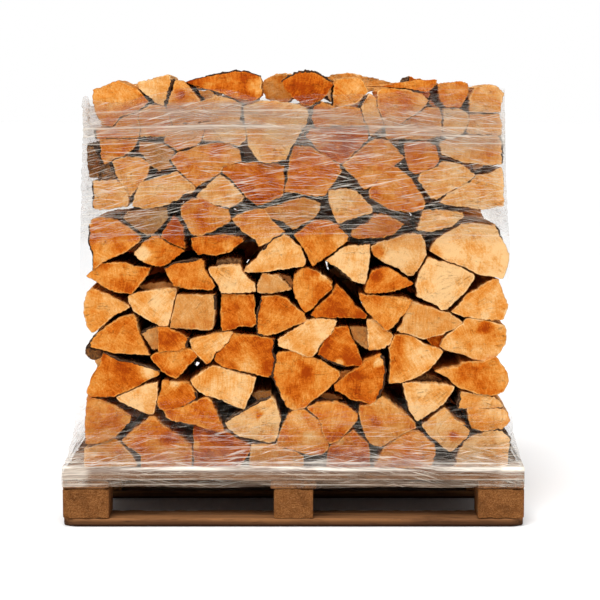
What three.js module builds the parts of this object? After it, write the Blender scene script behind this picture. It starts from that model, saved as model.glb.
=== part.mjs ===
// Firewood bundle: split logs stacked on a wooden pallet and wound with stretch film.
// Millimetres, +Z up, +X along the pallet's long side. The origin is on the floor, under the
// middle of the pallet. The front row shows its sawn ends at -Y; the back row is the same
// stack turned half a turn about Z.

import * as THREE from 'three';

// ---------------------------------------------------------------- driving dimensions

const PALLET_LENGTH = 1200;
const PALLET_WIDTH = 800;
const BOARD = 22; // thickness of every pallet board
const BLOCK_HEIGHT = 78;
const DECK_TOP = 3 * BOARD + BLOCK_HEIGHT;
const SEAM = 0.3; // gap left between two pieces that rest on each other

const DECK_WIDTHS = [145, 100, 145, 100, 145]; // front to back
const STRINGER_WIDTH = 120;
const MIDDLE_BLOCK_LENGTH = 102;
const BOTTOM_WIDTHS = [100, 145, 100]; // front, middle, back
const BOTTOM_CHAMFER = 7; // lower long edges of the bottom boards
const BOTTOM_CORNER = 22; // corners cut off the bottom boards' ends

const LOG_LENGTH = 330;
const ROW_GAP = 40; // free space between the two rows
const DATUM = 5; // the stack's outlines below count their heights from this far above the floor

const FILM_WALL = 0.8; // the wound layers of film taken together
const FILM_FOOT = 106; // lower edge, hooked below the deck boards
const FILM_HEAD = 1128; // upper edge

// The film's inside at each height: [height, half length, half width, corner radius].
const FILM_LEVELS = [
  [FILM_FOOT, 601, 401, 2],
  [152, 601, 401, 2],
  [176, 592, 386, 12],
  [238, 577, 358, 26],
  [600, 574, 354, 26],
  [1060, 572, 354, 26],
  [FILM_HEAD, 562, 354, 26],
];

// ---------------------------------------------------------------- the stack's outlines

// Seams between the courses of the front row, from the left end to the right end, as
// [x, height] seen from the front. The first is the deck, the last carries the top splits.
const SEAMS = [
  [[-550, 139.4], [564, 139.4]],
  [[-549, 196], [-462, 217], [-400, 250], [-368, 262], [-312, 232], [-250, 252],
    [-150, 219], [-47, 204], [-12, 274], [28, 281], [95, 213], [155, 243], [205, 196],
    [310, 240], [405, 182], [470, 222], [566, 242]],
  [[-544, 328], [-508, 322], [-430, 280], [-368, 279], [-300, 299], [-225, 328],
    [-180, 300], [-120, 300], [-55, 326], [-20, 298], [28, 297], [88, 315], [140, 304],
    [175, 300], [233, 327], [320, 262], [395, 299], [450, 297], [556, 299]],
  [[-542, 456], [-497, 446], [-353, 395], [-343, 372], [-268, 371], [-212, 413],
    [-98, 379], [-56, 382], [-40, 445], [0, 450], [72, 426], [122, 390], [178, 413],
    [228, 441], [246, 366], [402, 362], [430, 354], [480, 337], [552, 341]],
  [[-540, 466], [-478, 526], [-416, 550], [-400, 506], [-329, 512], [-272, 484],
    [-158, 500], [-50, 480], [-15, 497], [34, 532], [112, 531], [150, 512], [191, 511],
    [197, 475], [256, 470], [262, 490], [318, 485], [385, 456], [450, 439], [502, 423],
    [545, 440]],
  [[-544, 612], [-480, 596], [-433, 572], [-416, 602], [-306, 616], [-300, 597],
    [-98, 597], [-45, 594], [30, 551], [44, 551], [100, 600], [114, 624], [130, 610],
    [172, 598], [285, 590], [386, 555], [443, 527], [500, 531], [554, 520]],
  [[-541, 650], [-500, 680], [-445, 683], [-375, 668], [-334, 674], [-243, 691],
    [-140, 677], [-80, 655], [38, 667], [86, 684], [128, 720], [199, 729], [208, 700],
    [235, 672], [312, 648], [328, 652], [351, 695], [440, 669], [476, 652], [548, 641]],
  [[-530, 797], [-460, 792], [-398, 750], [-346, 752], [-313, 802], [-300, 797],
    [-283, 752], [-184, 755], [-90, 725], [-24, 760], [5, 755], [55, 792], [88, 791],
    [148, 765], [195, 745], [322, 762], [372, 744], [440, 785], [526, 780], [540, 765]],
  [[-522, 893], [-462, 897], [-424, 856], [-398, 889], [-302, 918], [-254, 881],
    [-205, 905], [-93, 833], [-29, 857], [60, 855], [92, 872], [195, 868], [262, 934],
    [300, 922], [375, 944], [415, 944], [472, 908], [541, 930]],
  [[-514, 1030], [-467, 1033], [-446, 1057], [-399, 1073], [-375, 1094], [-333, 1085],
    [-315, 1038], [-204, 1046], [-236, 1099], [-200, 1122], [-156, 1104], [-104, 1096], [2, 1100],
    [27, 1086], [46, 1083], [72, 1099], [100, 1085], [157, 1086], [198, 1120],
    [212, 1110], [214, 1084], [235, 1036], [255, 1026], [332, 1075], [355, 1100],
    [377, 1095], [391, 1082], [437, 1080], [453, 1069], [533, 1067]],
];

// The splits that lie on top, left to right: corners as [x, height], and a third number
// where the edge that starts there is round, which is how far it bulges.
const TOP_SPLITS = [
  [[-517, 1128], [-454, 1153], [-428, 1143], [-400, 1127], [-376, 1098], [-400, 1076],
    [-448, 1060], [-468, 1036], [-486, 1034], [-508, 1062], [-518, 1100]],
  [[-402, 1147], [-324, 1168], [-316, 1156, 3], [-335, 1089], [-350, 1092], [-401, 1135]],
  [[-303, 1153], [-285, 1153], [-266, 1132], [-240, 1100], [-208, 1049], [-312, 1041],
    [-328, 1083], [-312, 1128]],
  [[-276, 1149, 3], [-148, 1178, 4], [-84, 1162], [-81, 1116], [-105, 1100], [-156, 1109],
    [-200, 1127], [-258, 1142]],
  [[-30, 1150, 31], [102, 1143], [82, 1112], [45, 1087], [28, 1090], [0, 1108],
    [-20, 1130]],
  [[105, 1152], [114, 1157], [172, 1160, 2], [193, 1125], [172, 1102], [155, 1090],
    [104, 1088]],
  [[216, 1124], [230, 1134], [288, 1129], [330, 1117], [350, 1101], [330, 1078],
    [309, 1064], [255, 1029], [238, 1037], [218, 1083]],
  [[232, 1138], [322, 1153], [370, 1154], [369, 1142], [343, 1124], [290, 1134]],
  [[373, 1144], [429, 1150], [450, 1146], [451, 1118], [434, 1088], [428, 1084],
    [393, 1085], [381, 1098]],
  [[454, 1108], [470, 1135], [500, 1142], [526, 1138], [543, 1120], [533, 1071],
    [455, 1072]],
];

// ---------------------------------------------------------------- materials

const weatheredPine = () =>
  new THREE.MeshStandardMaterial({ color: 0xb29577, roughness: 0.82, metalness: 0 });

const pressedChips = () =>
  new THREE.MeshStandardMaterial({ color: 0x9a774f, roughness: 0.9, metalness: 0 });

const splitAlder = (warmth) =>
  new THREE.MeshStandardMaterial({
    color: new THREE.Color(0xd9ab6c).lerp(new THREE.Color(0xcf7a27), warmth),
    roughness: 0.78,
    metalness: 0,
  });

const stretchFilm = () =>
  new THREE.MeshStandardMaterial({
    color: 0xe9ebee,
    roughness: 0.25,
    metalness: 0,
    transparent: true,
    opacity: 0.3,
  });

// ---------------------------------------------------------------- helpers

const part = new THREE.Group();

function addMesh(group, name, geometry, material, place = [0, 0, 0]) {
  const mesh = new THREE.Mesh(geometry, material);
  mesh.name = name;
  mesh.position.set(...place);
  group.add(mesh);
  return mesh;
}

// Evenly spread centres of boards whose outer edges lie on +/- half.
function boardCentres(widths, half) {
  const used = widths.reduce((sum, width) => sum + width, 0);
  const gap = (2 * half - used) / (widths.length - 1);
  const centres = [];
  let edge = -half;
  for (const width of widths) {
    centres.push(edge + width / 2);
    edge += width + gap;
  }
  return centres;
}

// An outline drawn as seen from the front, carried back along Y over one log's length.
function carriedBack(shape) {
  const options = { depth: LOG_LENGTH, bevelEnabled: false, curveSegments: 8 };
  const geometry = new THREE.ExtrudeGeometry(shape, options);
  geometry.rotateX(Math.PI / 2); // drawn height becomes Z, depth runs towards -Y
  geometry.translate(0, -ROW_GAP / 2, DATUM);
  return geometry;
}

// Corners joined by straight edges, or by a round edge where a bulge is given.
function outlineShape(corners) {
  const shape = new THREE.Shape();
  shape.moveTo(corners[0][0], corners[0][1]);
  corners.forEach(([x, z, bulge = 0], index) => {
    const [nextX, nextZ] = corners[(index + 1) % corners.length];
    if (bulge === 0) {
      shape.lineTo(nextX, nextZ);
      return;
    }
    const length = Math.hypot(nextX - x, nextZ - z);
    const outX = -(nextZ - z) / length; // the corners run clockwise
    const outZ = (nextX - x) / length;
    const midX = (x + nextX) / 2 + 2 * bulge * outX;
    const midZ = (z + nextZ) / 2 + 2 * bulge * outZ;
    shape.quadraticCurveTo(midX, midZ, nextX, nextZ);
  });
  return shape;
}

// The solid between two seams, which holds one course of splits.
function courseShape(lower, upper) {
  const corners = lower.map(([x, z]) => [x, z + SEAM]);
  for (const point of [...upper].reverse()) {
    corners.push(point);
  }
  const shape = new THREE.Shape();
  shape.setFromPoints(corners.map(([x, z]) => new THREE.Vector2(x, z)));
  return shape;
}

// ---------------------------------------------------------------- pallet

function addDeckBoards() {
  const centres = boardCentres(DECK_WIDTHS, PALLET_WIDTH / 2);
  DECK_WIDTHS.forEach((width, index) => {
    const board = new THREE.BoxGeometry(PALLET_LENGTH, width, BOARD - SEAM);
    const place = [0, centres[index], DECK_TOP - (BOARD - SEAM) / 2];
    addMesh(part, `deck_board_${index + 1}`, board, weatheredPine(), place);
  });
}

const COLUMNS = {
  left: { x: -(PALLET_LENGTH - STRINGER_WIDTH) / 2, length: STRINGER_WIDTH },
  middle: { x: 0, length: MIDDLE_BLOCK_LENGTH },
  right: { x: (PALLET_LENGTH - STRINGER_WIDTH) / 2, length: STRINGER_WIDTH },
};

const BOTTOM_CENTRES = boardCentres(BOTTOM_WIDTHS, PALLET_WIDTH / 2);

const ROWS = {
  front: { y: BOTTOM_CENTRES[0], width: BOTTOM_WIDTHS[0] },
  middle: { y: BOTTOM_CENTRES[1], width: BOTTOM_WIDTHS[1] },
  back: { y: BOTTOM_CENTRES[2], width: BOTTOM_WIDTHS[2] },
};

function addStringerBoards() {
  const height = 2 * BOARD + BLOCK_HEIGHT - BOARD / 2 - SEAM / 2;
  for (const [side, column] of Object.entries(COLUMNS)) {
    const board = new THREE.BoxGeometry(STRINGER_WIDTH, PALLET_WIDTH, BOARD - SEAM);
    addMesh(part, `stringer_board_${side}`, board, weatheredPine(), [column.x, 0, height]);
  }
}

function addBlocks() {
  const height = BOARD + (BLOCK_HEIGHT - SEAM) / 2;
  for (const [end, row] of Object.entries(ROWS)) {
    for (const [side, column] of Object.entries(COLUMNS)) {
      const block = new THREE.BoxGeometry(column.length, row.width, BLOCK_HEIGHT - SEAM);
      addMesh(part, `block_${end}_${side}`, block, pressedChips(), [column.x, row.y, height]);
    }
  }
}

// A runner with its lower long edges bevelled: the cross section lies in YZ, and the ends'
// corners are cut by narrowing the plan outline, so the board is a stack of two outlines.
function bottomBoardGeometry(width) {
  const halfLength = PALLET_LENGTH / 2;
  const halfWidth = width / 2;
  const plan = (inset) => [
    [-halfLength + BOTTOM_CORNER, -halfWidth + inset],
    [halfLength - BOTTOM_CORNER, -halfWidth + inset],
    [halfLength, -halfWidth + BOTTOM_CORNER],
    [halfLength, halfWidth - BOTTOM_CORNER],
    [halfLength - BOTTOM_CORNER, halfWidth - inset],
    [-halfLength + BOTTOM_CORNER, halfWidth - inset],
    [-halfLength, halfWidth - BOTTOM_CORNER],
    [-halfLength, -halfWidth + BOTTOM_CORNER],
  ];
  const levels = [
    { z: 0, outline: plan(BOTTOM_CHAMFER) },
    { z: BOTTOM_CHAMFER, outline: plan(0) },
    { z: BOARD - SEAM, outline: plan(0) },
  ];
  return stackedOutlines(levels);
}

// A closed solid through equal outlines at rising heights, capped at both ends.
function stackedOutlines(levels) {
  const count = levels[0].outline.length;
  const positions = levels.flatMap(({ z, outline }) => outline.flatMap(([x, y]) => [x, y, z]));
  const faces = [];
  for (let level = 0; level + 1 < levels.length; level += 1) {
    for (let corner = 0; corner < count; corner += 1) {
      const a = level * count + corner;
      const b = level * count + ((corner + 1) % count);
      faces.push(a, b, b + count, a, b + count, a + count);
    }
  }
  const top = (levels.length - 1) * count;
  for (let corner = 1; corner + 1 < count; corner += 1) {
    faces.push(0, corner + 1, corner);
    faces.push(top, top + corner, top + corner + 1);
  }
  return indexedGeometry(positions, faces);
}

function indexedGeometry(positions, faces) {
  const geometry = new THREE.BufferGeometry();
  geometry.setAttribute('position', new THREE.Float32BufferAttribute(positions, 3));
  geometry.setIndex(faces);
  geometry.computeVertexNormals();
  return geometry;
}

function addBottomBoards() {
  for (const [end, row] of Object.entries(ROWS)) {
    const board = bottomBoardGeometry(row.width);
    addMesh(part, `bottom_board_${end}`, board, weatheredPine(), [0, row.y, 0]);
  }
}

// ---------------------------------------------------------------- stack of splits

function addRow(row, turn) {
  const group = new THREE.Group();
  group.rotation.z = turn;
  part.add(group);
  for (let course = 1; course < SEAMS.length; course += 1) {
    const geometry = carriedBack(courseShape(SEAMS[course - 1], SEAMS[course]));
    const warmth = (course % 3) / 2;
    addMesh(group, `${row}_course_${course}`, geometry, splitAlder(warmth));
  }
  TOP_SPLITS.forEach((corners, index) => {
    const geometry = carriedBack(outlineShape(corners));
    const warmth = ((index * 3) % 5) / 4;
    addMesh(group, `${row}_top_split_${index + 1}`, geometry, splitAlder(warmth));
  });
}

// ---------------------------------------------------------------- stretch film

// A rectangle with rounded corners, counter-clockwise seen from above.
function roundedOutline(halfLength, halfWidth, radius) {
  const steps = 4;
  const corners = [[1, 1], [-1, 1], [-1, -1], [1, -1]];
  const outline = [];
  corners.forEach(([sideX, sideY], quarter) => {
    for (let step = 0; step <= steps; step += 1) {
      const angle = ((quarter + step / steps) * Math.PI) / 2;
      outline.push([
        sideX * (halfLength - radius) + radius * Math.cos(angle),
        sideY * (halfWidth - radius) + radius * Math.sin(angle),
      ]);
    }
  });
  return outline;
}

// An open-ended wall: the outer skin going up, the inner one going down, joined at both rims.
function filmGeometry() {
  const skin = (offset) =>
    FILM_LEVELS.map(([z, halfLength, halfWidth, radius]) => ({
      z,
      outline: roundedOutline(halfLength + offset, halfWidth + offset, radius + offset),
    }));
  const loops = [...skin(FILM_WALL), ...skin(0).reverse()];
  const count = loops[0].outline.length;
  const positions = loops.flatMap(({ z, outline }) => outline.flatMap(([x, y]) => [x, y, z]));
  const faces = [];
  for (let loop = 0; loop < loops.length; loop += 1) {
    for (let corner = 0; corner < count; corner += 1) {
      const next = (corner + 1) % count;
      const above = ((loop + 1) % loops.length) * count;
      const a = loop * count + corner;
      const b = loop * count + next;
      faces.push(a, b, above + next, a, above + next, above + corner);
    }
  }
  return indexedGeometry(positions, faces);
}

addDeckBoards();
addStringerBoards();
addBlocks();
addBottomBoards();
addRow('front', 0);
addRow('back', Math.PI);
addMesh(part, 'stretch_film', filmGeometry(), stretchFilm());

export default part;
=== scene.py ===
"""A pallet of split firewood, stacked end-on in two rows and wound in stretch film."""

import logging
import math
from dataclasses import dataclass, field
from enum import Enum, IntEnum

import bpy
import numpy as np
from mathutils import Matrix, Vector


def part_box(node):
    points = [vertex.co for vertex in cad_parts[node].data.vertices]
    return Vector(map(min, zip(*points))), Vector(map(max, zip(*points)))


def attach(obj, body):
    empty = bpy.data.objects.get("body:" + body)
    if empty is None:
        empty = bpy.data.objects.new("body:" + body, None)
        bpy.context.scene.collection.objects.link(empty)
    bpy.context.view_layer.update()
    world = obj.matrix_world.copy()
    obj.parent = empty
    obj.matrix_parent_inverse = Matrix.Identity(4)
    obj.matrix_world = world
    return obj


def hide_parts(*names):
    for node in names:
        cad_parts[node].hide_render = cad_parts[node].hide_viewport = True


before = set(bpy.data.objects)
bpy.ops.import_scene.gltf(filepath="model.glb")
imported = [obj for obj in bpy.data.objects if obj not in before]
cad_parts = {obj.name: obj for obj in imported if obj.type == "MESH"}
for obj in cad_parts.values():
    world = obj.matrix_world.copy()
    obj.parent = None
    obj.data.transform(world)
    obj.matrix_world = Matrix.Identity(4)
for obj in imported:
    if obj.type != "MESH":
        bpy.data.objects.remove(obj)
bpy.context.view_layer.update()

LOG = logging.getLogger("firewood")

MM = 0.001
DATUM = 5.0  # outline heights are counted from 5 mm above the floor

Colour = tuple[float, float, float, float]
Socket = bpy.types.NodeSocket
Value = Socket | float | Colour


# ---------------------------------------------------------------- the splits' outlines


@dataclass(frozen=True)
class Split:
    """One split's sawn end, as read from the front, in millimetres.

    tone runs from 0, pale, to 1, deep orange; dull from 0, fresh, to 1, grey-brown.
    corners are x, height, x, height ... clockwise; bark names the edges under bark by their
    first corner; bulges gives an edge's rise over its chord; spots are x, height, radius
    and the tone there, partly the wood's own second tone and partly painted light and
    shade of facets and steps in the sawn end.
    """

    tone: float
    corners: tuple[float, ...]
    dull: float = 0.0
    set_back: float = 0.0
    bark: tuple[int, ...] = ()
    bulges: tuple[tuple[int, float], ...] = ()
    spots: tuple[tuple[float, float, float, float], ...] = ()


COURSES: tuple[tuple[Split, ...], ...] = (
    (  # on the deck
        Split(0.35, (-550, 190, -527, 196, -470, 217, -448, 198, -428, 176, -413, 150, -413, 140,
                     -550, 140)),
        Split(0.6, (-375, 276, -364, 274, -340, 248, -312, 229, -285, 208, -268, 195, -267, 140,
                    -400, 140, -400, 175, -436, 197, -450, 212, -432, 228, -400, 254),
              spots=((-320, 225, 30, 0.95),)),
        Split(0.85, (-262, 250, -230, 247, -198, 238, -172, 231, -150, 217, -118, 203, -115, 185,
                     -122, 172, -145, 140, -262, 140), spots=((-258, 200, 14, 0.2),)),
        Split(0.3, (-112, 200, -47, 202, -35, 190, 8, 182, 26, 168, 27, 140, -116, 140)),
        Split(0.5, (-12, 283, 3, 294, 28, 294, 60, 272, 73, 252, 92, 212, 90, 190, 75, 175,
                    45, 174, 8, 185, -22, 191, -43, 191, -44, 205, -34, 242),
              spots=((45, 220, 26, 0.15),)),
        Split(0.8, (155, 240, 178, 219, 195, 204, 200, 185, 200, 140, 88, 140, 90, 185, 103, 205,
                    125, 217), spots=((120, 212, 16, 0.3),)),
        Split(0.55, (237, 197, 297, 234, 320, 238, 340, 227, 372, 199, 372, 180, 362, 140,
                     212, 140, 234, 184)),
        Split(0.12, (436, 185, 452, 211, 470, 220, 498, 232, 525, 240, 550, 240, 568, 215,
                     570, 190, 562, 140, 425, 140)),
    ),
    (
        Split(0.6, (-540, 326, -508, 320, -467, 301, -428, 276, -430, 262, -468, 221, -500, 208,
                    -545, 203, -546, 260), dull=0.25),
        Split(0.66, (-340, 288, -300, 298, -228, 327, -215, 318, -197, 275, -178, 233, -198, 236,
                    -255, 254, -310, 264, -332, 272), spots=((-215, 280, 34, 0.75),)),
        Split(0.15, (-60, 326, -51, 323, -44, 300, -34, 270, -42, 228, -48, 208, -62, 207,
                     -140, 222, -172, 246, -178, 262, -150, 280, -120, 298, -90, 314),
              bark=(9, 10, 11, 12), spots=((-91, 280, 9, 0.9),)),
        Split(0.4, (-112, 330, -90, 338, -60, 338, -60, 326, -92, 312), 0.6, 30),
        Split(0.6, (35, 300, 60, 311, 88, 314, 118, 312, 140, 304, 168, 280, 166, 268, 145, 238,
                    118, 213, 95, 205, 80, 225, 72, 255, 62, 277)),
        Split(0.4, (62, 328, 95, 332, 130, 318, 90, 316), 0.7, 30),
        Split(0.4, (175, 302, 208, 310, 233, 327, 262, 307, 292, 283, 320, 258, 322, 247,
                    298, 236, 252, 210, 228, 196, 212, 200, 200, 207, 186, 230, 178, 262,
                    172, 285), dull=0.15, spots=((215, 260, 20, 0.75),)),
        Split(0.3, (337, 252, 360, 270, 386, 294, 398, 299, 425, 266, 450, 253, 466, 237,
                    462, 222, 440, 204, 412, 180, 402, 187, 360, 222),
              spots=((420, 225, 16, 0.8),)),
        Split(0.45, (455, 297, 550, 296, 563, 285, 567, 262, 548, 242, 493, 237, 468, 246,
                    460, 265)),
    ),
    (
        Split(0.5, (-545, 455, -505, 450, -500, 437, -515, 425, -530, 424, -545, 440), 1.0, 12,
              (0, 1)),
        Split(0.78, (-497, 445, -455, 425, -400, 412, -353, 394, -352, 387, -390, 368, -437, 342,
                     -470, 328, -537, 327, -541, 338, -536, 362, -524, 386, -508, 410),
              bark=(0, 1, 2), spots=((-378, 392, 24, 0.1),)),
        Split(0.16, (-355, 370, -400, 358, -467, 327, -460, 314, -400, 287, -381, 278, -366, 281,
                     -358, 310, -354, 345)),
        Split(0.72, (-343, 370, -275, 366, -258, 338, -254, 325, -272, 310, -300, 299, -338, 290,
                    -353, 298, -356, 320, -345, 345), spots=((-310, 364, 16, 0.25),)),
        Split(0.27, (-268, 370, -228, 402, -212, 411, -200, 408, -155, 395, -98, 378, -108, 345,
                     -122, 310, -130, 296, -160, 304, -200, 325, -230, 331, -258, 350),
              spots=((-240, 365, 22, 0.35),)),
        Split(0.58, (-40, 444, 0, 449, 45, 431, 72, 425, 92, 409, 120, 395, 122, 382, 95, 352,
                     60, 326, 30, 297, 0, 293, -17, 299, -35, 337, -55, 380, -50, 415),
              bark=(12, 13, 14), spots=((35, 395, 16, 0.95), (0, 340, 22, 0.8))),
        Split(0.82, (108, 358, 140, 386, 178, 411, 188, 425, 227, 440, 237, 425, 240, 400,
                     236, 362, 217, 322, 205, 309, 150, 322, 110, 345), bark=(4, 5, 6, 7),
              spots=((222, 421, 14, 0.15),)),
        Split(0.4, (112, 375, 125, 392, 150, 395, 140, 386, 122, 370), 0.35, 20),
        Split(0.15, (286, 363, 320, 365, 400, 361, 422, 354, 395, 312, 372, 294, 332, 267,
                     324, 263, 303, 294, 292, 330)),
        Split(0.4, (310, 368, 345, 384, 372, 378, 395, 364), 1.0, 22),
        Split(0.3, (438, 340, 495, 333, 528, 326, 550, 302, 480, 297, 430, 298, 434, 315), 0.1,
              bark=(5, 6)),
    ),
    (
        Split(0.5, (-416, 549, -445, 541, -478, 525, -520, 491, -538, 470, -533, 457, -500, 449,
                    -455, 440, -374, 437, -390, 472, -402, 500, -408, 530),
              spots=((-410, 480, 34, 0.72),)),
        Split(0.45, (-397, 495, -383, 505, -358, 513, -354, 500, -355, 455, -368, 452,
                     -385, 478), 0.5, 10, (0, 1)),
        Split(0.74, (-354, 510, -329, 512, -275, 483, -283, 460, -305, 451, -352, 447)),
        Split(0.6, (-373, 434, -353, 446, -305, 450, -280, 457, -253, 445, -252, 437, -283, 401,
                    -307, 375, -347, 399, -362, 416)),
        Split(0.38, (-272, 478, -250, 485, -205, 496, -158, 499, -168, 478, -192, 453, -202, 447,
                     -218, 419, -228, 417, -242, 430, -265, 455)),
        Split(0.78, (-165, 495, -105, 489, -50, 479, -54, 448, -48, 420, -56, 384, -66, 379,
                     -102, 388, -183, 408, -208, 425, -203, 440, -168, 472),
              spots=((-110, 405, 34, 0.5),)),
        Split(0.23, (34, 531, 60, 534, 110, 531, 112, 526, 100, 495, 82, 481, 72, 468, 62, 447,
                     48, 434, 30, 435, -5, 451, -38, 463, -40, 478, -15, 496, 28, 521)),
        Split(0.84, (98, 497, 110, 512, 142, 512, 150, 485, 166, 458, 178, 425, 178, 411,
                     135, 409, 112, 414, 82, 427, 66, 440, 66, 450, 80, 475), bark=(7, 8, 9),
              spots=((120, 418, 14, 0.2),)),
        Split(0.45, (148, 512, 191, 509, 196, 475, 196, 452, 180, 460, 160, 478), 0.65, 14),
        Split(0.36, (265, 490, 285, 493, 318, 484, 343, 465, 385, 454, 391, 446, 372, 420,
                    352, 397, 320, 378, 280, 366, 250, 364, 252, 400, 254, 440, 250, 457),
              spots=((262, 420, 42, 0.62), (270, 470, 26, 0.6), (340, 430, 34, 0.12))),
        Split(0.56, (372, 395, 400, 402, 430, 407, 445, 418, 500, 422, 531, 432, 545, 413,
                     560, 388, 562, 370, 552, 341, 520, 332, 480, 337, 430, 354, 402, 380)),
    ),
    (
        Split(0.45, (-524, 614, -480, 595, -427, 565, -437, 557, -470, 542, -505, 510, -525, 497,
                     -538, 512, -547, 548, -545, 580, -538, 604)),
        Split(0.22, (-433, 591, -416, 600, -378, 605, -346, 612, -306, 614, -308, 594, -316, 567,
                    -321, 539, -328, 514, -351, 516, -373, 527, -394, 539, -410, 550, -418, 556,
                    -427, 572)),
        Split(0.35, (-404, 615, -380, 622, -335, 626, -315, 620, -320, 612, -390, 604), 0.6, 30),
        Split(0.4, (-303, 595, -264, 596, -205, 597, -204, 560, -210, 508, -225, 505, -322, 511,
                    -316, 545), 0.3),
        Split(0.75, (-187, 596, -103, 596, -101, 560, -98, 520, -108, 512, -140, 515, -160, 505,
                    -187, 501, -190, 550)),
        Split(0.56, (-82, 592, -45, 594, -18, 586, 12, 558, 28, 548, 33, 528, 5, 517, -25, 502,
                     -58, 492, -80, 489, -95, 495, -95, 545)),
        Split(0.88, (114, 622, 130, 608, 158, 572, 191, 542, 188, 536, 60, 538, 45, 543, 58, 560,
                     100, 600)),
        Split(0.6, (172, 597, 250, 592, 285, 589, 309, 582, 292, 552, 252, 505, 241, 505,
                    212, 532, 192, 553, 178, 575)),
        Split(0.33, (192, 533, 210, 531, 238, 506, 260, 491, 256, 470, 235, 455, 197, 449,
                     195, 475)),
        Split(0.28, (302, 575, 312, 578, 385, 554, 405, 549, 443, 523, 425, 512, 386, 491,
                    338, 481, 300, 494, 270, 502, 285, 520, 290, 545), 0.15),
        Split(0.3, (443, 523, 452, 535, 500, 530, 552, 514, 556, 500, 555, 467, 541, 447,
                     530, 433, 502, 422, 480, 424, 450, 438, 402, 450, 384, 461, 390, 480,
                     420, 505), spots=((500, 512, 22, 0.8),)),
        Split(0.85, (345, 487, 378, 492, 395, 490, 383, 468, 388, 453, 365, 462, 350, 478), 0,
              16),
    ),
    (
        Split(0.62, (-540, 646, -521, 664, -498, 679, -445, 682, -415, 671, -375, 666, -380, 650,
                     -405, 620, -422, 600, -465, 602, -498, 621, -515, 634)),
        Split(0.68, (-334, 666, -318, 676, -243, 690, -234, 682, -231, 662, -204, 620, -212, 610,
                     -270, 611, -312, 621, -322, 638), bark=(0, 1)),
        Split(0.22, (-222, 666, -168, 674, -140, 676, -133, 658, -118, 640, -101, 626, -98, 605,
                     -190, 601, -193, 620, -214, 648)),
        Split(0.35, (-200, 684, -170, 690, -138, 688, -137, 674, -200, 668), 0.95, 24),
        Split(0.3, (-94, 603, -93, 625, -80, 651, -40, 648, -5, 612, -50, 602), 0.35),
        Split(0.35, (-40, 650, -8, 640, -2, 625, -5, 615, -22, 635), 0.6, 26),
        Split(0.76, (3, 650, 20, 663, 38, 665, 70, 653, 100, 628, 102, 614, 70, 586, 42, 554,
                     30, 551, 5, 590, -2, 625), spots=((78, 645, 14, 0.2),)),
        Split(0.14, (84, 686, 128, 720, 153, 725, 199, 727, 196, 665, 186, 626, 175, 627,
                     150, 636, 112, 668), bark=(7, 8)),
        Split(0.82, (205, 657, 235, 668, 252, 665, 312, 626, 295, 617, 255, 604, 215, 600,
                    186, 603, 192, 628), spots=((215, 650, 22, 0.95),)),
        Split(0.06, (351, 693, 395, 680, 440, 667, 470, 650, 470, 640, 445, 602, 400, 558,
                     386, 557, 375, 570, 322, 593, 319, 620, 328, 652)),
        Split(0.42, (520, 638, 535, 638, 543, 612, 548, 598, 560, 572, 560, 560, 548, 532,
                     518, 530, 440, 540, 413, 553, 430, 568, 455, 600, 490, 618, 508, 630),
              spots=((500, 545, 18, 0.2),)),
    ),
    (
        Split(0.6, (-523, 795, -499, 798, -460, 791, -429, 773, -398, 748, -400, 737, -440, 708,
                    -480, 690, -500, 680, -521, 665, -524, 705, -534, 740, -530, 780),
              bark=(9, 10, 11)),
        Split(0.68, (-369, 749, -350, 749, -326, 730, -284, 712, -299, 700, -334, 674, -356, 671,
                     -385, 679, -403, 690, -415, 704, -395, 727),
              spots=((-396, 704, 24, 0.1), (-330, 705, 34, 0.85))),
        Split(0.88, (-313, 801, -302, 795, -288, 772, -283, 718, -326, 737, -346, 750,
                     -325, 782)),
        Split(0.76, (-266, 742, -250, 748, -184, 754, -135, 745, -132, 738, -168, 708, -200, 701,
                     -250, 703, -262, 718), spots=((-172, 728, 18, 0.2),)),
        Split(0.28, (-24, 757, -5, 742, 18, 722, 30, 695, 31, 678, 26, 671, -74, 658, -128, 656,
                     -128, 663, -98, 690, -80, 715, -50, 745), bark=(10, 11)),
        Split(0.72, (2, 752, 45, 785, 55, 791, 88, 789, 118, 776, 145, 750, 143, 738, 102, 708,
                     75, 688, 50, 673, 42, 688, 30, 715), spots=((122, 745, 22, 0.4),)),
        Split(0.2, (202, 722, 225, 735, 262, 745, 300, 756, 331, 755, 343, 730, 346, 702,
                    333, 675, 312, 648, 298, 648, 270, 667, 232, 684, 208, 703), 0.15,
              spots=((218, 708, 20, 0.7),)),
        Split(0.04, (355, 710, 372, 742, 400, 758, 440, 783, 492, 780, 526, 778, 545, 740,
                     560, 705, 558, 675, 545, 640, 508, 646, 478, 652, 440, 673, 400, 685,
                     380, 697), bark=(5,), spots=((372, 712, 20, 0.5),)),
    ),
    (
        Split(0.35, (-520, 892, -462, 896, -446, 886, -428, 858, -430, 828, -500, 818,
                     -520, 822), bark=(6,)),
        Split(0.4, (-442, 797, -430, 814, -372, 822, -326, 825, -325, 800, -348, 772, -366, 754,
                    -380, 752, -402, 765, -428, 785), 0.7),
        Split(0.2, (-398, 888, -350, 903, -302, 917, -285, 903, -254, 878, -262, 864, -285, 862,
                    -300, 845, -330, 832, -385, 821, -418, 830, -412, 855)),
        Split(0.58, (-292, 826, -265, 846, -240, 848, -200, 828, -168, 818, -163, 790, -200, 768,
                    -240, 752, -262, 752, -290, 800)),
        Split(0.15, (-252, 853, -230, 875, -205, 900, -190, 910, -160, 888, -128, 852, -135, 840,
                     -168, 824, -200, 830, -250, 848)),
        Split(0.42, (-160, 795, -130, 811, -101, 819, -74, 821, -55, 788, -24, 761, -66, 733,
                     -90, 723, -100, 742, -133, 762)),
        Split(0.45, (-74, 822, -45, 828, 5, 848, 32, 849, 68, 836, 68, 820, 55, 800, 8, 771,
                     -2, 769, -35, 792, -60, 797, -72, 808), 0.35),
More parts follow.
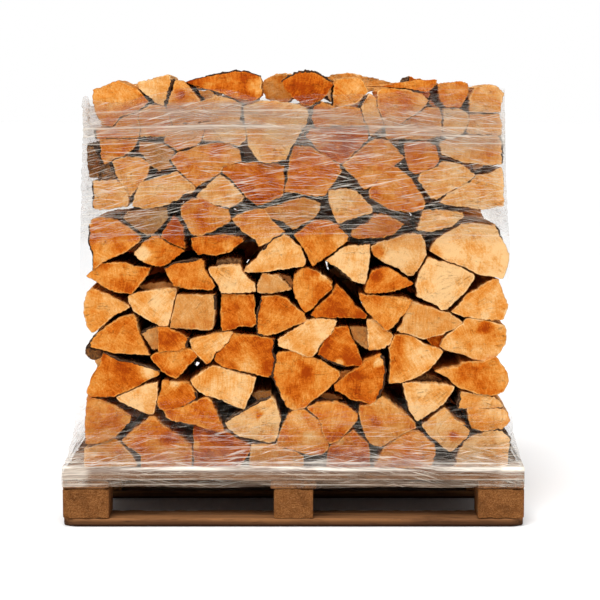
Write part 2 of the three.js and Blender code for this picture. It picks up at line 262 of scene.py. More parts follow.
        Split(0.2, (92, 870, 142, 872, 165, 865, 205, 824, 204, 812, 140, 792, 118, 781,
                    104, 805, 92, 835)),
        Split(0.66, (150, 762, 170, 775, 195, 783, 210, 806, 240, 804, 286, 782, 262, 757,
                     237, 747, 170, 745, 150, 750), 0.25),
        Split(0.55, (240, 918, 260, 931, 270, 928, 305, 900, 335, 852, 342, 838, 337, 820,
                     300, 812, 250, 820, 200, 848, 197, 868, 208, 888)),
        Split(0.25, (323, 898, 332, 915, 375, 930, 385, 943, 415, 942, 440, 934, 472, 907,
                     440, 883, 395, 861, 372, 845, 355, 850, 345, 868)),
        Split(0.14, (382, 838, 400, 860, 458, 890, 475, 907, 508, 912, 538, 930, 545, 900,
                    546, 830, 492, 820, 440, 826, 398, 833)),
        Split(0.2, (336, 815, 350, 819, 400, 816, 438, 810, 441, 802, 412, 776, 380, 768,
                    357, 762, 322, 767, 330, 790)),
    ),
    (
        Split(0.5, (-535, 990, -520, 985, -500, 950, -498, 925, -505, 900, -530, 905,
                    -535, 950), 0.95, 8, (0, 1, 2, 3)),
        Split(0.5, (-498, 938, -478, 945, -470, 920, -462, 900, -500, 896), 0.95, 8, (0, 1)),
        Split(0.5, (-512, 1030, -465, 1030, -445, 1055, -402, 1070, -398, 1030, -400, 1006,
                    -512, 1004)),
        Split(0.45, (-442, 1058, -400, 1073, -372, 1090, -335, 1086, -325, 1075, -315, 1040,
                     -330, 1010, -395, 1008, -396, 1030)),
        Split(0.6, (-500, 1000, -403, 1002, -411, 980, -436, 962, -470, 948, -490, 938,
                    -498, 960)),
        Split(0.4, (-399, 994, -340, 990, -306, 968, -320, 945, -312, 928, -345, 918, -372, 935,
                    -380, 948, -398, 970), 0.55),
        Split(0.35, (-468, 945, -445, 955, -400, 955, -372, 937, -380, 905, -400, 880, -424, 853,
                     -448, 888, -462, 915)),
        Split(0.4, (-315, 1038, -208, 1046, -228, 1038, -238, 1000, -252, 988, -300, 972,
                    -335, 995, -330, 1010)),
        Split(0.55, (-318, 950, -297, 968, -270, 974, -251, 984, -200, 993, -162, 988, -140, 972,
                     -135, 945, -182, 932, -190, 915, -205, 906, -251, 879, -300, 922)),
        Split(0.3, (-240, 1098, -200, 1115, -160, 1105, -135, 1090, -138, 1050, -125, 1030,
                    -122, 1000, -140, 985, -200, 998, -235, 1000, -225, 1040, -212, 1049)),
        Split(0.16, (-130, 1085, -85, 1100, -45, 1101, 5, 1093, 35, 1082, 42, 1066, 38, 1046,
                     15, 1010, -5, 975, -20, 948, -60, 939, -88, 944, -118, 985, -122, 1035)),
        Split(0.75, (-184, 930, -140, 940, -52, 941, -24, 932, -24, 900, -29, 855, -60, 840,
                     -93, 831, -125, 855, -158, 897, -183, 915)),
        Split(0.6, (-12, 940, 0, 985, 45, 982, 90, 955, 118, 935, 125, 918, 98, 882, 82, 857,
                    60, 853, 0, 864, -22, 866, -14, 900)),
        Split(0.7, (45, 1030, 150, 1035, 192, 1030, 192, 1000, 140, 950, 120, 937, 95, 952,
                    50, 985, 30, 1010)),
        Split(0.5, (50, 1085, 72, 1098, 100, 1086, 150, 1086, 172, 1080, 180, 1050, 190, 1038,
                    52, 1034, 44, 1055)),
        Split(0.3, (175, 1085, 196, 1118, 213, 1108, 216, 1083, 234, 1038, 200, 1010, 194, 1035,
                    182, 1055)),
        Split(0.35, (240, 1033, 256, 1028, 310, 1060, 345, 1083, 376, 1080, 382, 1060, 385, 1012,
                     340, 1000, 240, 1005)),
        Split(0.12, (388, 1080, 430, 1078, 450, 1069, 455, 1050, 440, 1018, 410, 1005,
                     388, 1012)),
        Split(0.3, (457, 1067, 532, 1066, 540, 1035, 536, 1012, 455, 1016, 448, 1024)),
        Split(0.5, (212, 1003, 248, 998, 286, 955, 262, 934, 238, 915, 208, 888, 194, 872,
                    182, 872, 160, 903, 138, 920, 126, 935, 142, 948, 193, 990)),
        Split(0.7, (288, 990, 342, 998, 370, 984, 378, 945, 360, 926, 318, 912, 302, 922,
                    292, 948)),
        Split(0.25, (378, 990, 400, 1002, 450, 1013, 535, 1010, 542, 990, 540, 938, 500, 936,
                     440, 942, 400, 958, 385, 962)),
    ),
)

TOP_SPLITS: tuple[Split, ...] = (
    Split(0.5, (-517, 1128, -454, 1153, -428, 1143, -400, 1127, -376, 1098, -400, 1076,
                -448, 1060, -468, 1036, -486, 1034, -508, 1062, -518, 1100)),
    Split(0.25, (-402, 1147, -324, 1168, -316, 1156, -335, 1089, -350, 1092, -401, 1135),
          bark=(2,), bulges=((2, 3),)),
    Split(0.45, (-303, 1153, -285, 1153, -266, 1132, -240, 1100, -208, 1049, -312, 1041,
                 -328, 1083, -312, 1128), spots=((-290, 1120, 10, 0.95),)),
    Split(0.8, (-276, 1149, -148, 1178, -84, 1162, -81, 1116, -105, 1100, -156, 1109,
                 -200, 1127, -258, 1142), bark=(0, 1), bulges=((0, 3), (1, 4)),
          spots=((-262, 1146, 36, 0.98), (-95, 1140, 24, 0.4))),
    Split(0.85, (-30, 1150, 102, 1143, 82, 1112, 45, 1087, 28, 1090, 0, 1108, -20, 1130),
          bark=(0,), bulges=((0, 31),)),
    Split(0.35, (105, 1152, 114, 1157, 172, 1160, 193, 1125, 172, 1102, 155, 1090, 104, 1088),
          bulges=((2, 2),)),
    Split(0.5, (216, 1124, 230, 1134, 288, 1129, 330, 1117, 350, 1101, 330, 1078, 309, 1064,
                255, 1029, 238, 1037, 218, 1083)),
    Split(0.72, (232, 1138, 322, 1153, 370, 1154, 369, 1142, 343, 1124, 290, 1134),
          spots=((250, 1138, 30, 0.95),)),
    Split(0.7, (373, 1144, 429, 1150, 450, 1146, 451, 1118, 434, 1088, 428, 1084, 393, 1085,
                381, 1098)),
    Split(0.3, (454, 1108, 470, 1135, 500, 1142, 526, 1138, 543, 1120, 533, 1071, 455, 1072)),
)


# ---------------------------------------------------------------- numbers and noise


def srgb(red: float, green: float, blue: float, alpha: float = 1.0) -> Colour:
    """Turn display values from 0 to 255 into a linear colour.

    Args:
        red: red share.
        green: green share.
        blue: blue share.
        alpha: opacity from 0 to 1.

    Returns:
        The colour, by the sRGB formula.
    """
    values = np.array([red, green, blue]) / 255.0
    linear = np.where(values <= 0.04045, values / 12.92, ((values + 0.055) / 1.055) ** 2.4)
    return (*map(float, linear), alpha)


def ripple(points: np.ndarray, seed: int, waves: int = 12) -> np.ndarray:
    """Smooth seeded noise: the sum of plane waves in random directions.

    Each wave is the sine of the point's dot product with a direction of length 0.6 to 1.6,
    plus a phase; the sum is divided by the root of half the number of waves.

    Args:
        points: places, with coordinates along the last axis, in wavelengths.
        seed: which noise.
        waves: how many waves are added.

    Returns:
        One value for each point, mostly between -2 and 2.
    """
    rng = np.random.default_rng(seed)
    ways = rng.normal(size=(waves, points.shape[-1]))
    ways /= np.linalg.norm(ways, axis=1, keepdims=True)
    ways *= rng.uniform(0.6, 1.6, size=(waves, 1)) * 2 * math.pi
    phases = rng.uniform(0, 2 * math.pi, waves)
    return np.sin(points @ ways.T + phases).sum(axis=-1) / math.sqrt(waves / 2)


def smoothstep(value: np.ndarray, low: float, high: float) -> np.ndarray:
    """Rise from 0 at low to 1 at high as 3t^2 - 2t^3."""
    t = np.clip((value - low) / (high - low), 0.0, 1.0)
    return t * t * (3 - 2 * t)


def unit_circle(count: int) -> np.ndarray:
    """Points at even steps round a circle of radius 1, from the x axis."""
    turn = np.linspace(0, 2 * math.pi, count, endpoint=False)
    return np.stack([np.cos(turn), np.sin(turn)], axis=1)


def resampled(closed: np.ndarray, count: int) -> np.ndarray:
    """Place count points at even steps along a closed line.

    Args:
        closed: the line's corners, the first not repeated.
        count: how many points.

    Returns:
        The points, starting at the first corner.
    """
    line = np.vstack([closed, closed[:1]])
    run = np.concatenate([[0.0], np.cumsum(np.linalg.norm(np.diff(line, axis=0), axis=1))])
    at = np.linspace(0.0, run[-1], count, endpoint=False)
    return np.stack([np.interp(at, run, line[:, k]) for k in range(line.shape[1])], axis=1)


# ---------------------------------------------------------------- meshes


def linked_mesh(name: str, points: np.ndarray, faces: list[list[int]], slots: np.ndarray,
                attributes: dict[str, np.ndarray],
                materials: list[bpy.types.Material]) -> bpy.types.Object:
    """Make a smooth mesh object and link it to the scene.

    Args:
        name: the object's name.
        points: its points.
        faces: the points of each face, by number.
        slots: the material slot of each face.
        attributes: by name, one number or vector for each point.
        materials: its material slots, in order.

    Returns:
        The object.
    """
    mesh = bpy.data.meshes.new(name)
    mesh.from_pydata(points, [], faces)
    mesh.polygons.foreach_set("use_smooth", np.ones(len(faces), bool))
    mesh.polygons.foreach_set("material_index", slots.astype(np.int32))
    for key, values in attributes.items():
        is_vector = values.shape[1] == 3
        layer = mesh.attributes.new(key, "FLOAT_VECTOR" if is_vector else "FLOAT", "POINT")
        layer.data.foreach_set("vector" if is_vector else "value",
                               values.astype(np.float32).ravel())
    for material in materials:
        mesh.materials.append(material)
    mesh.update()
    made = bpy.data.objects.new(name, mesh)
    bpy.context.collection.objects.link(made)
    return made


@dataclass
class Solid:
    """Closed grid shapes gathered into one piece, with their attributes.

    Edges sharper than crease degrees stay sharp; used counts the points so far.
    """

    crease: float = 40.0
    points: list[np.ndarray] = field(default_factory=list)
    faces: list[list[int]] = field(default_factory=list)
    slots: list[np.ndarray] = field(default_factory=list)
    extras: dict[str, list[np.ndarray]] = field(default_factory=dict)
    used: int = 0

    def add(self, loops: np.ndarray, poles: np.ndarray, slots: np.ndarray | int = 0,
            **extras: tuple[np.ndarray, np.ndarray]) -> None:
        """Add one closed shape: loops of points from pole to pole.

        Each face joins two neighbours on one loop to the same two on the next; the first
        and last loop close in a fan on their pole. The signed volume says whether the
        faces have to be turned round.

        Args:
            loops: grid of points, loop by loop.
            poles: the two end points.
            slots: the material slot of the faces between loop i and i + 1, by face.
            extras: attributes as a grid of values and the values at the poles.
        """
        rows, count, _ = loops.shape
        grid = self.used + np.arange(rows * count).reshape(rows, count)
        first, last = self.used + rows * count, self.used + rows * count + 1
        a, b = grid[:-1], np.roll(grid[:-1], -1, axis=1)
        c, d = np.roll(grid[1:], -1, axis=1), grid[1:]
        quads = np.stack([a, b, c, d], axis=-1).reshape(-1, 4)
        fans = np.concatenate([
            np.stack([np.full(count, first), np.roll(grid[0], -1), grid[0]], axis=-1),
            np.stack([np.full(count, last), grid[-1], np.roll(grid[-1], -1)], axis=-1)])
        points = np.concatenate([loops.reshape(-1, 3), poles])
        corner = points[quads - self.used]
        reach, diagonal = corner[:, 0] - points[0], corner[:, 2] - points[0]
        volume = np.sum(reach * np.cross(corner[:, 1] - points[0], diagonal))
        volume += np.sum(reach * np.cross(diagonal, corner[:, 3] - points[0]))
        if volume < 0:
            quads, fans = quads[:, ::-1], fans[:, ::-1]
        self.points.append(points)
        self.faces += quads.tolist() + fans.tolist()
        if np.ndim(slots) == 0:
            slots = np.full((rows - 1, count), slots)
        self.slots += [slots.ravel(), slots[0], slots[-1]]
        for name, (values, ends) in extras.items():
            width = values.shape[2:] or (1,)
            flat = np.concatenate([values.reshape(rows * count, *width),
                                   np.asarray(ends, float).reshape(2, *width)])
            self.extras.setdefault(name, []).append(flat)
        self.used += rows * count + 2

    def piece(self, name: str, materials: list[bpy.types.Material]) -> bpy.types.Object:
        """Make the object.

        Args:
            name: the piece's name.
            materials: its material slots, in order.

        Returns:
            The object, linked to the scene.
        """
        extras = {key: np.concatenate(parts) for key, parts in self.extras.items()}
        made = linked_mesh(name, np.concatenate(self.points), self.faces,
                           np.concatenate(self.slots), extras, materials)
        made.data.set_sharp_from_angle(angle=math.radians(self.crease))
        return made


def enrol(piece: bpy.types.Object, slot: str, *nodes: str) -> None:
    """Let a piece ride on the body and stand for its CAD nodes.

    Args:
        piece: the visible piece.
        slot: the record's material slot; not used.
        nodes: the CAD nodes that it replaces.
    """
    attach(piece, "root")
    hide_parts(*nodes)
    LOG.info("%s: %d faces", piece.name, len(piece.data.polygons))


# ---------------------------------------------------------------- materials


class Bench:
    """A material's node tree, with short calls for the nodes the finishes use."""

    def __init__(self, name: str) -> None:
        """Start an empty material.

        Args:
            name: the material's name.
        """
        self.built = bpy.data.materials.new(name)
        self.built.use_nodes = True
        self.tree = self.built.node_tree
        self.tree.nodes.clear()

    def node(self, kind: str, inputs: dict | None = None, **settings: object) -> bpy.types.Node:
        """Add a node.

        Args:
            kind: its type without the leading ShaderNode.
            inputs: a value or another node's socket for each input, by name or number.
            settings: the node's own properties.

        Returns:
            The node.
        """
        made = self.tree.nodes.new("ShaderNode" + kind)
        for key, value in settings.items():
            setattr(made, key, value)
        for key, value in (inputs or {}).items():
            if isinstance(value, Socket):
                self.tree.links.new(value, made.inputs[key])
            else:
                made.inputs[key].default_value = value
        return made

    def attribute(self, name: str, output: str = "Vector") -> Socket:
        """Read one of the piece's attributes."""
        return self.node("Attribute", attribute_name=name).outputs[output]

    def place(self) -> Socket:
        """The place on the piece, in its own coordinates."""
        return self.node("TexCoord").outputs["Object"]

    def parts(self, vector: Socket) -> list[Socket]:
        """Split a vector into its three numbers."""
        return list(self.node("SeparateXYZ", {0: vector}).outputs)

    def math(self, operation: str, *values: Value, clamp: bool = False) -> Socket:
        """One step of arithmetic."""
        return self.node("Math", dict(enumerate(values)), operation=operation,
                         use_clamp=clamp).outputs[0]

    def vector(self, operation: str, *values: Value, output: int = 0) -> Socket:
        """One step of vector arithmetic."""
        return self.node("VectorMath", dict(enumerate(values)),
                         operation=operation).outputs[output]

    def sway(self, part: Socket, weight: Value, base: Value) -> Socket:
        """Move base up and down by a noise: base + weight * (part - 0.5)."""
        return self.math("MULTIPLY_ADD", self.math("SUBTRACT", part, 0.5), weight, base)

    def drawn(self, place: Socket, x: float, y: float, z: float) -> Socket:
        """Scale a place's coordinates: a small number draws a noise out that way."""
        return self.vector("MULTIPLY", place, (x, y, z))

    def noise(self, vector: Socket, scale: float, detail: float = 3.0,
              roughness: float = 0.55, distortion: float = 0.0) -> Socket:
        """Noise from 0 to 1, mostly near a half."""
        return self.node("TexNoise", {"Vector": vector, "Scale": scale, "Detail": detail,
                                      "Roughness": roughness,
                                      "Distortion": distortion}).outputs[0]

    def rise(self, value: Value, low: float, high: float, start: float = 0.0,
             end: float = 1.0) -> Socket:
        """Go smoothly from start to end as value goes from low to high."""
        return self.node("MapRange", {0: value, 1: low, 2: high, 3: start, 4: end},
                         interpolation_type="SMOOTHSTEP").outputs[0]

    def mix(self, factor: Value, first: Value, second: Value, blend: str = "MIX") -> Socket:
        """Mix two colours."""
        return self.node("Mix", {0: factor, 6: first, 7: second}, data_type="RGBA",
                         blend_type=blend).outputs[2]

    def ramp(self, value: Value, stops: tuple[tuple[float, Colour], ...]) -> Socket:
        """Look a number up in a row of colours.

        Args:
            value: where to look.
            stops: places from 0 to 1 and the colour at each.

        Returns:
            The colour there.
        """
        made = self.node("ValToRGB", {0: value})
        band = made.color_ramp
        while len(band.elements) < len(stops):
            band.elements.new(0.5)
        for element, (place, colour) in zip(band.elements, stops):
            element.position, element.color = place, colour
        return made.outputs[0]

    def bump(self, height: Socket, distance: float, strength: float) -> Socket:
        """Turn a height into a normal; distance is the height's size in metres."""
        return self.node("Bump", {"Height": height, "Distance": distance,
                                  "Strength": strength}).outputs[0]

    def finish(self, shader: Socket) -> bpy.types.Material:
        """Connect the shader to the material's output."""
        self.node("OutputMaterial", {"Surface": shader})
        return self.built

    def principled(self, inputs: dict) -> bpy.types.Material:
        """End on one principled surface."""
        return self.finish(self.node("BsdfPrincipled", inputs).outputs[0])

    def matt(self, colour: Socket, roughness: float, gloss: float,
             relief: Socket) -> bpy.types.Material:
        """End on a matt surface with relief; gloss is its specular level."""
        return self.principled({"Base Color": colour, "Roughness": roughness,
                                "Specular IOR Level": gloss, "Normal": relief})


@dataclass(frozen=True)
class WoodTones:
    """Colours of the split wood, from pale sapwood to deep orange heart."""

    stops: tuple[tuple[float, Colour], ...] = (
        (0.0, srgb(242, 194, 134)), (0.25, srgb(231, 164, 90)), (0.5, srgb(220, 137, 52)),
        (0.75, srgb(202, 100, 16)), (1.0, srgb(162, 62, 3)))
    weathered: Colour = srgb(150, 106, 68)
    aged: Colour = srgb(82, 54, 34)
    bark: Colour = srgb(64, 42, 28)
    bark_light: Colour = srgb(128, 100, 76)
    # the dark of cracks, slits and stains, and also of the painted shade along the sawn ends'
    # rims
    crack_and_shade: Colour = srgb(70, 34, 12)


@dataclass(frozen=True)
class SawnEnd:
    """The sawn end of a split: year rings, rays, checks, saw marks and stains, with a painted
    highlight and painted shade along its rim.

    The piece's attributes are look (tone, dullness and the distance in from the rim),
    grain (a place in the wood), pith (the place as seen from the pith) and bark.
    """

    tones: WoodTones = WoodTones()
    ring_width: float = 0.0045
    ring_wander: float = 0.016
    bark_width: float = 0.0024

    def patterns(self, b: Bench, grain: Socket) -> dict[str, Socket]:
        """The noises that make up the wood.

        Rings are noise along the distance from the pith; rays and checks are noise on the
        direction from it.

        Args:
            b: the material.
            grain: the place in the wood.

        Returns:
            The noises by name, each from 0 to 1.
        """
        flat = b.drawn(b.attribute("pith"), 1.0, 0.0, 1.0)
        radius = b.math("MULTIPLY_ADD", b.noise(grain, 30.0, 2.0), self.ring_wander,
                        b.vector("LENGTH", flat, output=1))
        rings = b.node("TexNoise", {"W": b.math("DIVIDE", radius, self.ring_width),
                                    "Scale": 1.0, "Detail": 2.0}, noise_dimensions="1D")
        way = b.vector("ADD", b.vector("NORMALIZE", flat), b.drawn(grain, 2.0, 2.0, 2.0))
        return {"rings": rings.outputs[0],
                "rays": b.noise(way, 30.0, 4.0, 0.75),
                "checks": b.noise(way, 7.0, 2.0, 0.6),
                "broad": b.noise(grain, 15.0, 2.0, 0.5),
                "open": b.noise(grain, 22.0, 2.0),
                "mottle": b.noise(grain, 42.0, 5.0, 0.62, 0.4),
                "stain": b.noise(grain, 95.0, 3.0, 0.65, 1.0),
                "fleck": b.noise(grain, 300.0, 3.0, 0.75),
                "strokes": b.noise(b.drawn(grain, 1.0, 0.0, 0.16), 210.0, 3.0, 0.6)}

    def clean(self, b: Bench, tone: Socket, ragged: Socket, noise: dict[str, Socket]) -> Socket:
        """The fresh wood's colour: the tone moved by each noise, with a painted highlight that
        makes it paler near the rim in patches.

        Args:
            b: the material.
            tone: the split's tone.
            ragged: distance in from the rim, made uneven.
            noise: the patterns.

        Returns:
            The colour.
        """
        for name, weight in (("broad", 1.3), ("mottle", 0.8), ("rings", 0.26), ("rays", 0.6),
                             ("fleck", 0.6), ("strokes", 0.5)):
            tone = b.sway(noise[name], weight, tone)
        # painted highlight: paler just inside the rim, in patches, as on lit rounded edges
        painted_rim_highlight = b.math("MULTIPLY", b.rise(ragged, 0.0008, 0.0045, -0.34, 0.0),
                          b.rise(noise["broad"], 0.4, 0.56))
        return b.ramp(b.math("ADD", tone, painted_rim_highlight), self.tones.stops)

    def material(self) -> bpy.types.Material:
        """Lay dullness, stains, cracks, a dark rim of painted shade and bark over the fresh
        wood.

        Returns:
            The finish.
        """
        b = Bench("sawn_end")
        tone, dull, edge = b.parts(b.attribute("look"))
        noise = self.patterns(b, b.attribute("grain"))
        ragged = b.sway(noise["mottle"], 0.012, edge)
        colour = self.clean(b, tone, ragged, noise)
        stain, crack_and_shade = noise["stain"], self.tones.crack_and_shade
        aged = b.mix(b.rise(dull, 0.3, 1.0), self.tones.weathered, self.tones.aged)
        colour = b.mix(b.math("MULTIPLY", dull, b.rise(stain, 0.25, 0.6, 0.6, 1.0)),
                       colour, aged)
        colour = b.mix(b.math("MULTIPLY", b.rise(stain, 0.6, 0.72), 0.5), colour,
                       b.mix(0.55, colour, crack_and_shade, "MULTIPLY"))
        line = b.rise(b.math("ABSOLUTE", b.math("SUBTRACT", noise["checks"], 0.5)),
                      0.001, 0.008, 1.0, 0.0)
        cracks = b.math("MULTIPLY", line, b.rise(noise["open"], 0.52, 0.6))
        colour = b.mix(b.math("MULTIPLY", cracks, 0.32), colour, crack_and_shade)
        # painted shade: a jagged dark line along the rim, where the rounded edge turns away
        colour = b.mix(b.rise(b.sway(noise["fleck"], 0.004, edge), 0.0001, 0.0010, 0.5, 0.0),
                       colour, crack_and_shade)
        under_bark = b.rise(ragged, self.bark_width, self.bark_width + 0.0012, 1.0, 0.0)
        colour = b.mix(b.math("MULTIPLY", under_bark, b.attribute("bark", "Fac")), colour,
                       self.tones.bark)
        height = b.math("MULTIPLY", noise["fleck"], 0.8)
        for part, weight in ((noise["rings"], 0.3), (noise["strokes"], 0.9),
                             (noise["mottle"], 1.6), (cracks, -1.2)):
            height = b.math("MULTIPLY_ADD", part, weight, height)
        return b.matt(colour, 0.8, 0.06, b.bump(height, 0.002, 0.85))


@dataclass(frozen=True)
class CleftSide:
    """A split's torn sides: long fibres, paler and browner streaks."""

    tones: WoodTones = WoodTones()

    def material(self) -> bpy.types.Material:
        """Noise drawn out along the split's length gives fibres in colour and height.

        Returns:
            The finish.
        """
        b = Bench("cleft_side")
        tone, dull, _ = b.parts(b.attribute("look"))
        grain = b.attribute("grain")
        fibre_way = b.drawn(grain, 1.0, 0.03, 1.0)
        fibres = b.noise(fibre_way, 420.0, 4.0, 0.7)
        cords = b.noise(fibre_way, 120.0, 4.0, 0.65)
        strands = b.noise(b.drawn(grain, 1.0, 0.05, 1.0), 38.0, 3.0, 0.6)
        blotch = b.noise(b.drawn(grain, 1.0, 0.14, 1.0), 20.0, 4.0, 0.6)
        shift = b.math("MULTIPLY_ADD", tone, 0.6, 0.08)
        for part, weight in ((fibres, 1.1), (cords, 1.1), (strands, 0.9), (blotch, 0.5)):
            shift = b.sway(part, weight, shift)
        worn = b.math("MAXIMUM", b.math("MULTIPLY", dull, 0.9),
                      b.rise(blotch, 0.42, 0.72, 0.12, 0.6))
        colour = b.mix(worn, b.ramp(shift, self.tones.stops), self.tones.weathered)
        slit = b.rise(b.math("MULTIPLY_ADD", cords, 0.5, b.math("MULTIPLY", strands, 0.5)),
                      0.33, 0.41, 0.6, 0.0)
        colour = b.mix(slit, colour, self.tones.crack_and_shade)
        height = b.math("MULTIPLY_ADD", strands, 2.2, b.math("MULTIPLY_ADD", cords, 1.4, fibres))
        return b.matt(colour, 0.85, 0.05, b.bump(height, 0.003, 1.0))


@dataclass(frozen=True)
class Bark:
    """Thin dark bark with grey scales and cross ridges."""

    tones: WoodTones = WoodTones()

    def material(self) -> bpy.types.Material:
        """Cell noise gives the scales, fine noise their colour.

        Returns:
            The finish.
        """
        b = Bench("bark")
        grain = b.drawn(b.attribute("grain"), 1.0, 0.4, 1.0)
        cells = b.node("TexVoronoi", {"Vector": grain, "Scale": 70.0}).outputs[0]
        fine = b.noise(grain, 150.0, 5.0, 0.7)
        patch = b.noise(grain, 22.0, 4.0, 0.6)
        colour = b.mix(b.rise(b.math("MULTIPLY_ADD", patch, 0.7, fine), 0.62, 1.1),
                       self.tones.bark, self.tones.bark_light)
        relief = b.bump(b.math("MULTIPLY_ADD", cells, -1.0, fine), 0.004, 0.9)
        return b.matt(colour, 0.92, 0.04, relief)


@dataclass(frozen=True)
class PalletBoard:
    """Rough-sawn softwood, dry, a little grey, with knots, streaks and dirt, and painted shade
    near the ground and on undersides.
    """

    fresh: Colour = srgb(152, 104, 64)
    dry: Colour = srgb(122, 82, 52)
    # the colour of dirt, and also of the painted shade near the ground and under the boards
    dirt_and_shade: Colour = srgb(52, 30, 17)

    def material(self) -> bpy.types.Material:
        """The along attribute has the board's length first, so streaks follow it.

        Dirt lies in patches, streaks and knots; painted shade darkens the boards near the ground
        and on faces that turn down.

        Returns:
            The finish.
        """
        b = Bench("pallet_board")
        along = b.attribute("along")
        fibres = b.noise(b.drawn(along, 0.05, 1.0, 1.0), 260.0, 4.0, 0.65)
        bands = b.noise(b.drawn(along, 0.035, 1.0, 1.0), 55.0, 3.0, 0.6, 0.8)
        patch = b.noise(b.drawn(along, 0.3, 1.0, 1.0), 14.0, 4.0, 0.6)
        kerf = b.noise(b.drawn(along, 1.0, 0.05, 0.25), 240.0, 2.0, 0.5)
        knots = b.node("TexVoronoi", {"Vector": b.drawn(along, 0.5, 1.0, 1.0),
                                      "Scale": 7.0}).outputs[0]
        ground = b.parts(b.place())[2]
        facing_up = b.parts(b.node("NewGeometry").outputs["Normal"])[2]
        patches = b.rise(b.math("MULTIPLY_ADD", fibres, 0.5, patch), 0.68, 0.95)
        colour = b.mix(b.rise(bands, 0.34, 0.64), self.fresh, self.dry)
        # patches, fibres and knots are dirt; the last two darkenings, near the ground and on
        # faces that turn down, are painted shade
        for dirt_and_shade_share in (b.math("MULTIPLY", patches, 0.75),
                      b.rise(fibres, 0.54, 0.72, 0.0, 0.5),
                      b.rise(knots, 0.055, 0.1, 0.7, 0.0),
                      b.rise(b.sway(patch, 0.01, ground), 0.009, 0.0205, 0.72, 0.0),
                      b.rise(facing_up, -0.7, -0.3, 0.9, 0.0)):
            colour = b.mix(dirt_and_shade_share, colour, self.dirt_and_shade)
        height = b.math("MULTIPLY_ADD", bands, 1.1, b.math("MULTIPLY_ADD", kerf, 0.5, fibres))
        return b.matt(colour, 0.86, 0.08, b.bump(height, 0.0014, 0.8))


@dataclass(frozen=True)
class PressedChips:
    """A block of pressed wood chips: flat flakes in tan and brown, with pits."""

    flakes: tuple[tuple[float, Colour], ...] = (
        (0.0, srgb(112, 66, 32)), (0.35, srgb(138, 86, 44)), (0.6, srgb(150, 96, 52)),
        (0.85, srgb(174, 120, 70)), (1.0, srgb(126, 76, 38)))
    pit: Colour = srgb(48, 28, 14)
    flakes_per_metre: float = 540.0
    bend: float = 0.007

    def material(self) -> bpy.types.Material:
        """Each flake is one cell of a bent and stretched cell noise, in a random colour.

        Returns:
            The finish.
        """
        b = Bench("pressed_chips")
        place = b.attribute("along")
        curl = b.node("TexNoise", {"Vector": place, "Scale": 60.0, "Detail": 2.0}).outputs[1]
        bent = b.vector("MULTIPLY_ADD", curl, (self.bend,) * 3, place)
        cell = b.node("TexVoronoi", {"Vector": b.drawn(bent, 0.7, 0.7, 1.6),
                                     "Scale": self.flakes_per_metre, "Randomness": 1.0})
        fine = b.noise(place, 420.0, 4.0, 0.7)
        coarse = b.noise(place, 30.0, 4.0, 0.6)
        pitted = b.rise(b.math("MULTIPLY_ADD", coarse, 0.6, fine), 0.86, 1.0, 0.0, 0.8)
        colour = b.mix(pitted, b.ramp(b.parts(cell.outputs[1])[0], self.flakes), self.pit)
        colour = b.mix(b.rise(coarse, 0.4, 0.65, 0.0, 0.35), colour, self.flakes[0][1])
        height = b.math("MULTIPLY_ADD", cell.outputs[0], -1.4,
                        b.math("MULTIPLY_ADD", pitted, -0.8, fine))
        return b.matt(colour, 0.9, 0.06, b.bump(height, 0.002, 0.9))


@dataclass(frozen=True)
class NailSteel:
    """Dull zinc-grey nail heads with a little rust."""

    steel: Colour = srgb(120, 118, 114)
    rust: Colour = srgb(96, 58, 34)

    def material(self) -> bpy.types.Material:
        """Noise mixes rust into the grey.

        Returns:
            The finish.
        """
        b = Bench("nail_steel")
        spots = b.noise(b.place(), 500.0, 4.0, 0.7)
        colour = b.mix(b.rise(spots, 0.45, 0.62), self.steel, self.rust)
        return b.principled({"Base Color": colour, "Metallic": 0.75, "Roughness": 0.55,
                             "Normal": b.bump(spots, 0.0006, 0.6)})


